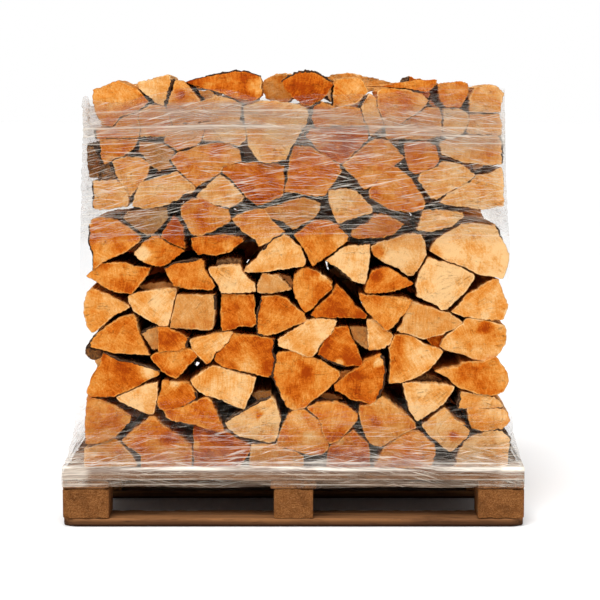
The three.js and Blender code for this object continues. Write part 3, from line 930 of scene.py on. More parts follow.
@dataclass(frozen=True)
class StretchFilm:
    """Clear stretch film, crinkled into whitish threads in an upper and a lower band; their
    white is partly the crinkled film's own and partly painted glints.

    veil and thread are height in metres and strength there; layers are threads: lean,
    length, width and the noise's low and high limits; folds are height, half width and
    strength, in metres. The film's wound attribute is the place on it, with a third
    number that rises and falls as the film was wound.
    """

    top: float = 1.25
    veil: tuple[tuple[float, float], ...] = (
        (0.100, 0.26), (0.124, 0.22), (0.140, 0.24), (0.148, 0.58), (0.162, 0.38),
        (0.174, 0.12), (0.210, 0.03), (0.300, 0.0), (0.750, 0.0), (0.800, 0.04),
        (0.900, 0.02), (0.970, 0.06), (1.000, 0.26), (1.030, 0.38), (1.070, 0.32),
        (1.095, 0.14), (1.120, 0.04))
    thread: tuple[tuple[float, float], ...] = (
        (0.100, 0.50), (0.140, 0.60), (0.170, 0.75), (0.230, 0.55), (0.290, 0.25),
        (0.340, 0.0), (0.735, 0.0), (0.785, 0.75), (0.850, 0.9), (0.980, 0.85),
        (1.060, 0.7), (1.120, 0.35))
    slope: float = 0.035
    thread_cover: float = 0.60
    layers: tuple[tuple[float, float, float, float, float], ...] = (
        (0.010, 0.300, 0.0024, 0.605, 0.67), (0.200, 0.090, 0.0024, 0.59, 0.655),
        (-0.260, 0.100, 0.0024, 0.59, 0.655), (0.060, 0.130, 0.0020, 0.60, 0.665),
        (-0.070, 0.110, 0.0020, 0.60, 0.665))
    # folds: white lines, partly gathered film and partly painted highlights
    folds: tuple[tuple[float, float, float], ...] = (
        (1.080, 0.0024, 0.34), (1.062, 0.0020, 0.30), (1.038, 0.0042, 0.40),
        (1.028, 0.0090, 0.22), (1.018, 0.0026, 0.50), (0.998, 0.0022, 0.34),
        (0.946, 0.0022, 0.22), (0.872, 0.0026, 0.22), (0.806, 0.0030, 0.28),
        (0.762, 0.0026, 0.30), (0.232, 0.0016, 0.30), (0.205, 0.0018, 0.34),
        (0.168, 0.0030, 0.50), (0.154, 0.0075, 0.75), (0.139, 0.0022, 0.36),
        (0.127, 0.0024, 0.42), (0.113, 0.0022, 0.36))
    deck_edge: tuple[float, float] = (0.138, 0.148)
    # where the film's left and right faces begin: there a painted reflection makes it whiter and
    # clearer
    side_faces: tuple[float, float] = (0.520, 0.548)
    white: Colour = srgb(253, 243, 227)
    grey: Colour = srgb(166, 154, 143)
    grubby: Colour = srgb(176, 144, 118)
    clear: Colour = (1.0, 1.0, 1.0, 1.0)
    dimmed: Colour = srgb(242, 240, 238)

    def by_height(self, b: Bench, level: Socket,
                  table: tuple[tuple[float, float], ...]) -> Socket:
        """Look a strength up by height, from 0 to top."""
        return b.ramp(b.math("DIVIDE", level, self.top),
                      tuple((height / self.top, (share, share, share, 1.0))
                            for height, share in table))

    def threads(self, b: Bench, wound: list[Socket],
                layer: tuple[float, float, float, float, float]) -> Socket:
        """One layer of threads: noise drawn out along a winding that leans.

        Args:
            b: the material.
            wound: the three numbers of the place on the film.
            layer: lean, length, width and limits; height gains lean times x + y.

        Returns:
            1 on a thread, 0 beside it.
        """
        lean, length, width, low, high = layer
        x, y, z = wound
        tilted = b.math("MULTIPLY_ADD", b.math("ADD", x, y), lean, z)
        place = b.node("CombineXYZ", {0: b.math("DIVIDE", x, length),
                                      1: b.math("DIVIDE", y, length),
                                      2: b.math("DIVIDE", tilted, width)}).outputs[0]
        return b.rise(b.noise(place, 1.0, 2.0, 0.5), low, high)

    def crinkles(self, b: Bench, wound: Socket, patches: Socket, band: Socket) -> Socket:
        """All the threads, each layer in its own patches, some brighter than others as painted
        glints.

        Args:
            b: the material.
            wound: the place on the film.
            patches: broad noise; odd layers show where it is high, even ones where low.
            band: how many threads there are at this height.

        Returns:
            How much they cover.
        """
        white = 0.0
        for number, layer in enumerate(self.layers):
            low = 0.40 + 0.04 * number
            limits = (low, low + 0.1) if number % 2 else (low + 0.16, low)
            seen = b.math("MULTIPLY", self.threads(b, b.parts(wound), layer),
                          b.rise(patches, *limits))
            white = b.math("MAXIMUM", white, seen)
        # painted glints: some threads are made whiter than others
        painted_glint = b.rise(b.noise(b.drawn(wound, 14.0, 14.0, 60.0), 1.0, 2.0),
                        0.35, 0.65, 0.35, 1.0)
        white = b.math("MULTIPLY", b.math("MULTIPLY", white, painted_glint), band)
        return b.math("MULTIPLY", white, self.thread_cover)

    def pressed(self, b: Bench, wound: Socket, height: Socket, streak: Socket,
                white: Socket) -> Socket:
        """Add the long flat folds, white partly as gathered film and partly as painted
        highlights, which wander in height and break off in streaks.

        Args:
            b: the material.
            wound: the place on the film.
            height: height over the floor.
            streak: noise that breaks the folds.
            white: what the threads cover.

        Returns:
            What threads and folds cover.
        """
        wander = b.noise(b.drawn(wound, 1.7, 1.7, 3.0), 1.0, 2.0)
        shifted = b.sway(wander, b.rise(height, 0.2, 0.6, 0.008, 0.04), height)
        # each fold line is partly gathered film and partly a painted highlight
        for middle, half, strength in self.folds:
            gap = b.math("ABSOLUTE", b.math("SUBTRACT", shifted, middle))
            fold = b.math("MULTIPLY", b.rise(gap, half * 0.3, half, strength, 0.0), streak)
            white = b.math("MAXIMUM", white, fold)
        return white

    def veiled(self, b: Bench, wound: Socket, height: Socket, fray: Socket) -> Socket:
        """The milky veil; its upper part climbs to the right and has a frayed edge.

        Args:
            b: the material.
            wound: the place on the film.
            height: height over the floor.
            fray: noise that frays the edge.

        Returns:
            How much it covers.
        """
        climb = b.math("MULTIPLY", b.parts(wound)[0], self.slope)
        level = b.math("MULTIPLY_ADD", b.sway(fray, 0.12, climb), b.rise(height, 0.4, 0.6),
                       height)
        sheer = b.rise(b.noise(b.drawn(wound, 2.6, 2.6, 34.0), 1.0, 4.0, 0.62),
                       0.34, 0.68, 0.25, 1.5)
        return b.math("MULTIPLY", sheer, self.by_height(b, level, self.veil))

    def material(self) -> bpy.types.Material:
        """How much is seen through falls where threads, folds and the veil meet.

        The film shows as a part of white scattering, with painted glints in threads and folds
        and a painted reflection whitening its left and right faces, and a part of gloss; the
        rest is clear.

        Returns:
            The finish.
        """
        b = Bench("stretch_film")
        wound = b.attribute("wound")
        across, _, height = b.parts(b.place())
        fray = b.noise(b.drawn(wound, 3.0, 3.0, 16.0), 1.0, 4.0, 0.6)
        patches = b.noise(b.drawn(wound, 5.0, 5.0, 15.0), 1.0, 3.0, 0.6)
        streak = b.rise(b.noise(b.drawn(wound, 5.0, 5.0, 90.0), 1.0, 4.0, 0.7), 0.36, 0.64)
        band = self.by_height(b, b.sway(fray, 0.10, height), self.thread)
        white = self.pressed(b, wound, height, streak,
                             self.crinkles(b, wound, patches, band))
        cover = b.math("ADD", white, self.veiled(b, wound, height, fray), clamp=True)
        relief = b.math("MULTIPLY_ADD", streak, 0.5, b.math("MULTIPLY", patches, 2.0))
        normal = b.bump(b.math("MULTIPLY", relief, b.rise(band, 0.0, 0.8, 0.15, 1.0)),
                        0.0025, 0.6)
        # painted reflection: the film's left and right faces are whiter and less tinted, as film
        # looks edge-on against the white studio
        painted_side_reflection = b.rise(b.math("ABSOLUTE", across), *self.side_faces)
        whiteness = b.math("MAXIMUM", painted_side_reflection,
                           b.math("DIVIDE", white, b.math("ADD", cover, 0.01), clamp=True))
        hue = b.mix(b.rise(height, *self.deck_edge), self.grubby, self.grey)
        scatter = b.node("BsdfPrincipled", {"Base Color": b.mix(whiteness, hue, self.white),
                                            "Roughness": 0.3, "Specular IOR Level": 0.5,
                                            "Normal": normal}).outputs[0]
        dim = b.math("MULTIPLY", b.rise(band, 0.0, 0.6), b.rise(painted_side_reflection, 0.0, 1.0, 1.0, 0.2))
        see_through = b.node("BsdfTransparent",
                             {"Color": b.mix(dim, self.clear, self.dimmed)}).outputs[0]
        shine = b.node("BsdfGlossy", {"Roughness": 0.15, "Normal": normal}).outputs[0]
        facing = b.node("LayerWeight", {"Blend": 0.5}).outputs[1]
        glint = b.math("MULTIPLY", b.math("POWER", facing, 3.0),
                       b.rise(band, 0.0, 0.8, 0.12, 0.24))
        unmarked = b.node("MixShader", {0: glint, 1: see_through, 2: shine}).outputs[0]
        return b.finish(b.node("MixShader", {0: cover, 1: unmarked, 2: scatter}).outputs[0])


@dataclass(frozen=True)
class FilmInside:
    """The film's inner face, which adds nothing to what the outer face shows."""

    tint: Colour = (0.985, 0.988, 0.99, 1.0)

    def material(self) -> bpy.types.Material:
        """A clear surface with a trace of grey."""
        b = Bench("film_inside")
        return b.finish(b.node("BsdfTransparent", {"Color": self.tint}).outputs[0])


# ---------------------------------------------------------------- pallet


class Axis(IntEnum):
    """Which way a board runs."""

    LONG = 0
    CROSS = 1


@dataclass(frozen=True)
class Board:
    """A board or a block: the box it fills, how it lies and how roughly it is sawn.

    step is the distance between stations, rough the size of the unevenness; corners wear
    over wear_reach by wear_depth; waves are the noises' lengths on faces, in dents and on
    ends; end_rings are shares of the way from an end's rim to its middle.
    """

    box: tuple
    run: Axis
    seed: int
    step: float = 0.016
    rough: float = 0.0006
    chamfered: bool = False
    chamfer: float = 0.007
    cut_corner: float = 0.022
    edge_round: float = 0.0018
    wear_reach: float = 0.006
    wear_depth: float = 0.0016
    end_rings: tuple[float, ...] = (0.06, 0.25, 0.5, 0.75)
    waves: tuple[float, float, float] = (0.035, 0.012, 0.02)

    @property
    def side(self) -> int:
        """The axis across the board."""
        return 1 - self.run

    @property
    def centre(self) -> np.ndarray:
        """The middle of the box."""
        return (np.array(self.box[0], float) + np.array(self.box[1], float)) / 2

    @property
    def size(self) -> np.ndarray:
        """The sides of the box."""
        return np.array(self.box[1], float) - np.array(self.box[0], float)

    def profile(self) -> np.ndarray:
        """The cross section about its centre, clockwise from above.

        Its upper and lower sides have a point every 9 mm or so, its edges are broken by two
        points, and a chamfered profile loses its two lower corners at 45 degrees.

        Returns:
            Points across the board and up.
        """
        w, h, r = self.size[self.side] / 2, self.size[2] / 2, self.edge_round
        low = self.chamfer if self.chamfered else r
        across = np.linspace(-w + r, w - r, max(4, round(2 * w / 0.009)))
        below = np.linspace(w - low, -w + low, len(across))
        upright = np.linspace(-h + low, h - r, 5)
        return np.concatenate([
            np.stack([across, np.full_like(across, h)], axis=1),
            np.stack([np.full_like(upright, w), upright[::-1]], axis=1),
            np.stack([below, np.full_like(below, -h)], axis=1),
            np.stack([np.full_like(upright, -w), upright], axis=1)])

    def stations(self) -> np.ndarray:
        """Places along the length, with one more an edge's rounding in from each end.

        Returns:
            The places, in order.
        """
        low, high = self.box[0][self.run], self.box[1][self.run]
        even = np.linspace(low, high, max(6, round((high - low) / self.step)))
        return np.concatenate([even[:1], even[:1] + self.edge_round, even[1:-1],
                               even[-1:] - self.edge_round, even[-1:]])

    def wear(self, grid: np.ndarray, ring: np.ndarray) -> np.ndarray:
        """How far each point moves inwards.

        The depth is a smooth noise, deeper in a few small dents, and corners wear by up to
        two wear depths more. It goes seven parts square to the face and, at corners, three
        parts towards the board's middle line.

        Args:
            grid: the profile at each station, about the board's middle line.
            ring: the profile.

        Returns:
            The moves, for every point of the grid.
        """
        half = self.size[[self.side, 2]] / 2
        corner = np.prod(smoothstep(np.abs(ring), half - self.wear_reach, half), axis=1)
        broad, fine = (ripple(grid / wave, self.seed + number)
                       for number, wave in enumerate(self.waves[:2]))
        depth = self.rough * (0.5 + 0.5 * np.clip(broad / 2, -1, 1) + 0.4 * (fine < -1.2))
        depth = depth + corner * self.wear_depth * np.clip(broad + fine, 0, 2)
        flat = grid.copy()
        flat[..., self.run] = 0
        away = flat / np.maximum(np.linalg.norm(flat, axis=-1, keepdims=True), 1e-6)
        square = np.zeros_like(grid)
        on_top = np.isclose(np.abs(ring[:, 1]), half[1], atol=1e-4)
        square[:, on_top, 2] = np.sign(ring[on_top, 1])
        square[:, ~on_top, self.side] = np.sign(ring[~on_top, 0])
        return depth[..., None] * (0.7 * square + 0.3 * away * corner[:, None])

    def cap(self, rim: np.ndarray) -> np.ndarray:
        """Rings from the rim towards the middle of an end, a little uneven.

        Args:
            rim: the profile at the end.

        Returns:
            The rings, the outer one first.
        """
        rings = rim[None] * (1 - np.array(self.end_rings))[:, None, None]
        rings[..., self.run] = rim[None, :, self.run]
        inward = np.sign(rim[0, self.run] - self.centre[self.run]) * self.rough * 0.6
        uneven = np.sin(ripple(rings / self.waves[2], self.seed + 2))
        rings[..., self.run] -= inward * (0.5 + 0.5 * uneven)
        return rings

    def solid(self) -> Solid:
        """Carry the profile along the length, wear it and close its ends.

        A chamfered board narrows over the last stretch, as its cut corners do. The along
        attribute is the place with the length first, moved by a step of its own.

        Returns:
            The board.
        """
        ring, stations = self.profile(), self.stations()
        grid = np.empty((len(stations), len(ring), 3))
        grid[..., self.run] = stations[:, None]
        grid[..., [self.side, 2]] = ring
        half = self.size[[self.side, 2]] / 2
        if self.chamfered:
            to_end = self.size[self.run] / 2 - np.abs(stations - self.centre[self.run])
            past = np.clip(self.cut_corner - to_end, 0, None)
            grid[..., self.side] *= (1 - past / half[0])[:, None]
        for end in (0, -1):
            grid[end][:, [self.side, 2]] *= 1 - self.edge_round / half
        grid -= self.wear(grid, ring)
        loops = np.concatenate([self.cap(grid[0])[::-1], grid, self.cap(grid[-1])])
        loops[..., [self.side, 2]] += self.centre[[self.side, 2]]
        poles = np.stack([loops[0].mean(axis=0), loops[-1].mean(axis=0)])
        turned, shift = [self.run, self.side, 2], self.seed * 0.37
        solid = Solid()
        solid.add(loops, poles, along=(loops[..., turned] + shift, poles[:, turned] + shift))
        return solid


@dataclass
class Pallet:
    """Deck boards, stringer boards, chip blocks, bottom boards and their nails.

    pattern is the places of the nails at a crossing: along the board in metres and across
    it in halves of its width, each scattered a little. dome is the rings of a nail head:
    share of its radius and height over its foot; dome_ends are its poles' heights.
    """

    seed: int = 410
    block_step: float = 0.006
    block_rough: float = 0.0009
    nail_radius: float = 0.0048
    nail_sides: int = 12
    nail_sunk: float = 0.0004
    nail_scatter: float = 0.004
    pattern: tuple[tuple[float, float], ...] = ((-0.028, -0.55), (0.03, 0.0), (-0.02, 0.55))
    dome: tuple[tuple[float, float], ...] = ((1.0, -0.002), (1.0, 0.0002), (0.8, 0.0007))
    dome_ends: tuple[float, float] = (-0.002, 0.0008)

    def add_nails(self, solid: Solid, box: tuple, up: int, rng: np.random.Generator) -> None:
        """Add a low dome at each place where the board crosses a stringer board.

        Args:
            solid: the board.
            box: its lowest and highest corner.
            up: 1 for nails in its upper face, -1 in its lower one.
            rng: the board's random source.
        """
        columns = [float(np.mean([corner[0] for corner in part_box(f"stringer_board_{side}")]))
                   for side in ("left", "middle", "right")]
        middle, half = (box[0][1] + box[1][1]) / 2, (box[1][1] - box[0][1]) / 2
        spots = np.array([(x + along, middle + across * half) for x in columns
                          for along, across in self.pattern])
        spots += rng.normal(0, self.nail_scatter, spots.shape)
        top = box[1 if up > 0 else 0][2] - up * self.nail_sunk
        circle = unit_circle(self.nail_sides) * self.nail_radius
        for x, y in spots:
            loops = np.zeros((len(self.dome), self.nail_sides, 3))
            for ring, (share, lift) in zip(loops, self.dome):
                ring[:, :2] = circle * share + (x, y)
                ring[:, 2] = top + up * lift
            poles = np.array([[x, y, top + up * lift] for lift in self.dome_ends])
            solid.add(loops, poles, 1, along=(loops, poles))

    def build(self, board: bpy.types.Material, chips: bpy.types.Material,
              steel: bpy.types.Material) -> None:
        """Make every board and block in the place of its CAD node.

        Args:
            board: the sawn boards' finish.
            chips: the blocks' finish.
            steel: the nails' finish.
        """
        names = [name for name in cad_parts
                 if name.split("_")[0] in ("deck", "stringer", "bottom", "block")]
        for number, name in enumerate(sorted(names)):
            box, seed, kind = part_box(name), self.seed + 7 * number, name.split("_")[0]
            if kind == "block":
                block = Board(box, Axis.LONG, seed, self.block_step, self.block_rough)
                enrol(block.solid().piece(name + "_chips", [chips]), "chip_block", name)
                continue
            run = Axis.CROSS if kind == "stringer" else Axis.LONG
            solid = Board(box, run, seed, chamfered=kind == "bottom").solid()
            if kind != "stringer":
                self.add_nails(solid, box, 1 if kind == "deck" else -1,
                               np.random.default_rng(seed))
            enrol(solid.piece(name + "_sawn", [board, steel]), "pallet_board", name)


# ---------------------------------------------------------------- the stack


class Row(Enum):
    """The two rows of splits: the back one is the front one turned half a turn."""

    FRONT = "front"
    BACK = "back"

    @property
    def seed(self) -> int:
        """Start of the row's random numbers."""
        return 73 if self is Row.FRONT else 911


class Face(IntEnum):
    """Material slots of a split."""

    SAWN = 0
    CLEFT = 1
    BARK = 2


@dataclass
class SplitRow:
    """One row of splits: nine courses and the splits lying on top.

    near and far are the planes of the sawn ends; around and stations are the points round
    and along a split; the rings are shares of the way from an end's rim to its middle.
    Scatters and spreads say how much splits differ in length, lean, twist in degrees and
    bow; grain_turn is the grain's turn in radians for each metre it is moved.
    """

    row: Row
    near: float = -0.350
    far: float = -0.020
    around: int = 84
    grow: float = 1.3
    stations: int = 12
    cap_rings: tuple[float, ...] = (0.035, 0.14, 0.3, 0.5, 0.72)
    back_rings: tuple[float, ...] = (0.04, 0.4)
    bark_chance: float = 0.22
    bark_thick: float = 0.0012
    broken_edge: float = 0.0008
    start_scatter: tuple[float, float] = (0.0005, 0.009)
    end_scatter: float = 0.012
    lean_spread: float = 0.03
    twist_spread: float = 1.4
    bow_spread: float = 0.0022
    groove_depths: tuple[float, float] = (0.0011, 0.0008)
    saw_roughness: float = 0.0007
    grain_turn: float = 0.35

    def outline(self, split: Split, rng: np.random.Generator) -> tuple[np.ndarray, np.ndarray]:
        """The ragged outline of a sawn end and where it is under bark.

        Each edge is a quadratic curve whose middle rises by its bulge; the line is placed
        at even steps with its corners kept, then moved out a little and in and out by a
        noise of three wavelengths.

        Args:
            split: the split.
            rng: the row's random source.

        Returns:
            Points in metres, and 0 or 1 for each.
        """
        corners = np.array(split.corners, float).reshape(-1, 2)
        bulges = dict(split.bulges)
        ends = np.roll(corners, -1, axis=0)
        way = ends - corners
        out = np.stack([-way[:, 1], way[:, 0]], axis=1) / np.linalg.norm(way, axis=1)[:, None]
        rise = np.array([bulges.get(k, 0.0) for k in range(len(corners))])[:, None]
        control = (corners + ends) / 2 + 2 * rise * out
        t = np.linspace(0, 1, 12, endpoint=False)[None, :, None]
        fine = ((1 - t) ** 2 * corners[:, None] + 2 * t * (1 - t) * control[:, None]
                + t ** 2 * ends[:, None])
        barked = np.zeros((len(corners), 1, 1))
        barked[list(self.bark_edges(split, corners, rng))] = 1.0
        tagged = np.concatenate([fine, np.broadcast_to(barked, (*fine.shape[:2], 1))], axis=2)
        ring = resampled(tagged.reshape(-1, 3), self.around)
        bark = (ring[:, 2] > 0.5).astype(float)
        points = ring[:, :2]
        gaps = np.linalg.norm(points[:, None] - corners[None], axis=2)
        points[np.argmin(gaps, axis=0)] = corners
        points = 0.88 * points + 0.06 * (np.roll(points, 1, 0) + np.roll(points, -1, 0))
        normal = np.roll(points, -1, 0) - np.roll(points, 1, 0)
        normal = np.stack([-normal[:, 1], normal[:, 0]], axis=1)
        normal /= np.linalg.norm(normal, axis=1, keepdims=True)
        circle, seed = unit_circle(self.around), int(rng.integers(1 << 30))
        wave = (0.6 * ripple(circle * 1.3, seed) + 0.7 * ripple(circle * 4.5, seed + 1)
                + 0.55 * ripple(circle * 11.0, seed + 2))
        points = points + normal * (self.grow + np.clip(wave, -2.8, 1.2))[:, None]
        return points * MM + (0.0, DATUM * MM), bark

    def bark_edges(self, split: Split, corners: np.ndarray,
                   rng: np.random.Generator) -> tuple[int, ...]:
        """The edges under bark: the given ones, or now and then those far from the pith.

        Args:
            split: the split.
            corners: its corners as x and height.
            rng: the row's random source.

        Returns:
            The numbers of the edges' first corners.
        """
        lucky = rng.random() < self.bark_chance
        if split.bark and self.row is Row.FRONT:
            return split.bark
        if split.set_back or not lucky:
            return ()
        reach = np.linalg.norm(corners - self.pith(corners), axis=1)
        both = np.minimum(reach, np.roll(reach, -1))
        return tuple(int(k) for k in np.flatnonzero(both > 0.82 * reach.max()))

    @staticmethod
    def pith(corners: np.ndarray) -> np.ndarray:
        """The outline's sharpest corner, where the log's middle was.

        It is sharpest by the angle between the fourth points on either side, of 48 points
        at even steps.

        Args:
            corners: the outline's corners.

        Returns:
            The place, in the same units.
        """
        ring = resampled(corners, 48)
        before, after = np.roll(ring, 4, 0) - ring, np.roll(ring, -4, 0) - ring
        cosine = (before * after).sum(1) / (np.linalg.norm(before, axis=1)
                                            * np.linalg.norm(after, axis=1) + 1e-9)
        return ring[int(np.argmax(cosine))]

    def sides(self, outline: np.ndarray, near: float, far: float, seed: int,
              rng: np.random.Generator) -> np.ndarray:
        """The long sides: the outline carried from the near end to the far one.

        At each station the outline is scaled, turned and shifted about its middle by small
        smooth amounts. Grooves run along the sides, and the edge is broken at both ends.

        Args:
            outline: points of the sawn end.
            near: where the split starts.
            far: where it ends.
            seed: the grooves' seed.
            rng: the row's random source.

        Returns:
            Points, station by station.
        """
        even = np.linspace(0, 1, self.stations)
        v = np.concatenate([[0.0, 0.006], even[1:-1], [0.994, 1.0]])
        swell = 1 - 0.05 * v * rng.uniform(0, 1) + 0.012 * np.sin(v * 3 + rng.uniform(0, 6))
        swell = swell / swell[0]
        twist = np.radians(rng.normal(0, self.twist_spread)) * v
        bow = rng.normal(0, self.bow_spread, 2) * np.sin(v[:, None] * math.pi)
        middle = outline.mean(axis=0)
        x, z = (outline - middle).T
        cosine, sine = np.cos(twist)[:, None], np.sin(twist)[:, None]
        turned = np.stack([x * cosine - z * sine, x * sine + z * cosine], axis=2)
        circle = unit_circle(self.around) * 3.2
        lines = np.stack(np.broadcast_arrays(circle[:, 0], circle[:, 1], v[:, None] * 0.9),
                         axis=2)
        coarse, fine = self.groove_depths
        groove = coarse * ripple(lines, seed) + fine * ripple(lines * 2.4, seed + 1)
        groove = np.clip(groove, -0.004, 0.0012) * smoothstep(v, 0.0, 0.12)[:, None]
        groove[[0, -1]] -= self.broken_edge
        scale = swell[:, None] + groove / np.linalg.norm(turned, axis=2)
        flat = middle + bow[:, None] + turned * scale[..., None]
        reach = np.broadcast_to((near + (far - near) * v)[:, None], scale.shape)
        return np.stack([flat[..., 0], reach, flat[..., 1]], axis=2)

    def sawn(self, rim: np.ndarray, shares: tuple[float, ...], seed: int) -> np.ndarray:
        """Rings from the rim to the middle of an end, with a rough face.

        Args:
            rim: the last loop of the sides.
            shares: how far each ring is on the way to the middle.
            seed: the roughness's seed.

        Returns:
            The rings, the outer one first.
        """
        rings = rim + (rim.mean(axis=0) - rim) * np.array(shares)[:, None, None]
        rings[..., 1] += self.saw_roughness * ripple(rings / 0.03, seed)
        return rings

    def toned(self, split: Split, places: np.ndarray, tone: float) -> np.ndarray:
        """The tone at each place: the split's own, and in the front row its spots' tones, partly
        the wood's own and partly painted light and shade of the end's facets.

        Args:
            split: the split.
            places: points on it.
            tone: its own tone.

        Returns:
            One tone for each place.
        """
        tones = np.full(places.shape[:-1], tone)
        # spots: partly the wood's second tone, partly painted light and shade of facets and
        # steps in the sawn end
        for x, z, radius, other in (split.spots if self.row is Row.FRONT else ()):
            spot = np.array([x, z + DATUM]) * MM
            gap = np.linalg.norm(places[..., [0, 2]] - spot, axis=-1)
            blend = 1 - smoothstep(gap, 0.45 * radius * MM, 1.25 * radius * MM)
            tones += (other - tones) * blend
        return tones

    def looks(self, split: Split, rng: np.random.Generator) -> tuple[float, float]:
        """A split's tone and dullness; the back row shuffles them.

        Args:
            split: the split.
            rng: the row's random source.

        Returns:
            Tone and dullness.
        """
        jitter, other, dull = rng.normal(0, 0.03), rng.random(), rng.random()
        if self.row is Row.FRONT:
            return split.tone + jitter, split.dull
        return 0.1 + 0.75 * other, max(0.0, dull - 0.6) * 1.2

    def add_split(self, solid: Solid, split: Split, rng: np.random.Generator) -> None:
        """Add one split: its sides, its two sawn ends, its bark and its attributes.

        The ends are planes, a little tilted. The grain attribute is the place, turned about
        the split's length and moved, so that no two splits have the same grain.

        Args:
            solid: the piece it is added to.
            split: its outline and looks.
            rng: the row's random source.
        """
        outline, bark = self.outline(split, rng)
        middle = outline.mean(axis=0)
        sharpest = self.pith(np.array(split.corners, float).reshape(-1, 2))
        sharpest = (sharpest + (0.0, DATUM)) * MM
        pith = sharpest + (sharpest - middle) * rng.uniform(0.0, 0.5)
        seed = int(rng.integers(1 << 30))
        near = self.near + split.set_back * MM + rng.uniform(*self.start_scatter)
        far = self.far - rng.uniform(0.0, self.end_scatter)
        lean = rng.normal(0, self.lean_spread, 2)
        sides = self.sides(outline, near, far, seed, rng)
        loops = np.concatenate([self.sawn(sides[0], self.cap_rings, seed + 2)[::-1], sides,
                                self.sawn(sides[-1], self.back_rings, seed + 2)])
        tilt = np.clip((loops[..., [0, 2]] - middle) @ lean, -0.002, 0.007)
        loops[..., 1] += tilt * np.clip((near - loops[..., 1]) / (far - near) + 1, 0, 1)
        poles = np.stack([loops[0].mean(axis=0), loops[-1].mean(axis=0)])

        tone, dull = self.looks(split, rng)
        inward = np.concatenate([self.cap_rings[::-1], np.zeros(len(sides)), self.back_rings])
        depth = np.linalg.norm(outline - middle, axis=1) * inward[:, None]
        look = np.stack([self.toned(split, loops, tone), np.full_like(depth, dull), depth],
                        axis=2)
        pole_look = [[pole_tone, dull, 0.05] for pole_tone in self.toned(split, poles, tone)]
        shift = rng.uniform(-3, 3, 3)
        angle = self.grain_turn * shift[0]
        cosine, sine = math.cos(angle), math.sin(angle)
        spin = np.array([[cosine, 0.0, sine], [0.0, 1.0, 0.0], [-sine, 0.0, cosine]])

        along = slice(len(self.cap_rings), -len(self.back_rings))
        slots = np.full((len(loops) - 1, self.around), int(Face.SAWN))
        slots[along] = np.where(bark > 0.5, int(Face.BARK), int(Face.CLEFT))
        scales = np.clip(1 + ripple(loops[along] / 0.02, seed + 3), 0, 2.4)
        away = loops[along][..., [0, 2]] - middle
        away /= np.linalg.norm(away, axis=2, keepdims=True)
        loops[along, :, 0] += away[..., 0] * bark * self.bark_thick * scales
        loops[along, :, 2] += away[..., 1] * bark * self.bark_thick * scales
        barks = np.broadcast_to(bark, loops.shape[:2])
        origin, centre = (np.array([x, 0.0, z]) for x, z in (pith, middle))
        if self.row is Row.BACK:
            loops, poles, origin, centre = (places * (-1, -1, 1) for places in
                                            (loops, poles, origin, centre))
        solid.add(loops, poles, slots, look=(look, pole_look),
                  grain=((loops - centre) @ spin + centre + shift,
                         (poles - centre) @ spin + centre + shift),
                  pith=(loops - origin, poles - origin), bark=(barks, np.zeros(2)))

    def build(self, materials: list[bpy.types.Material]) -> None:
        """Make one piece for each course and each split on top.

        Args:
            materials: the finishes, in the order of Face.
        """
        rng = np.random.default_rng(self.row.seed)
        courses = [(f"course_{number}", "splits", course)
                   for number, course in enumerate(COURSES, 1)]
        tops = [(f"top_split_{number}", "wood", (split,))
                for number, split in enumerate(TOP_SPLITS, 1)]
        for node, ending, splits in courses + tops:
            solid = Solid()
            for split in splits:
                self.add_split(solid, split, rng)
            node = f"{self.row.value}_{node}"
            enrol(solid.piece(f"{node}_{ending}", materials), "split_wood", node)


# ---------------------------------------------------------------- film


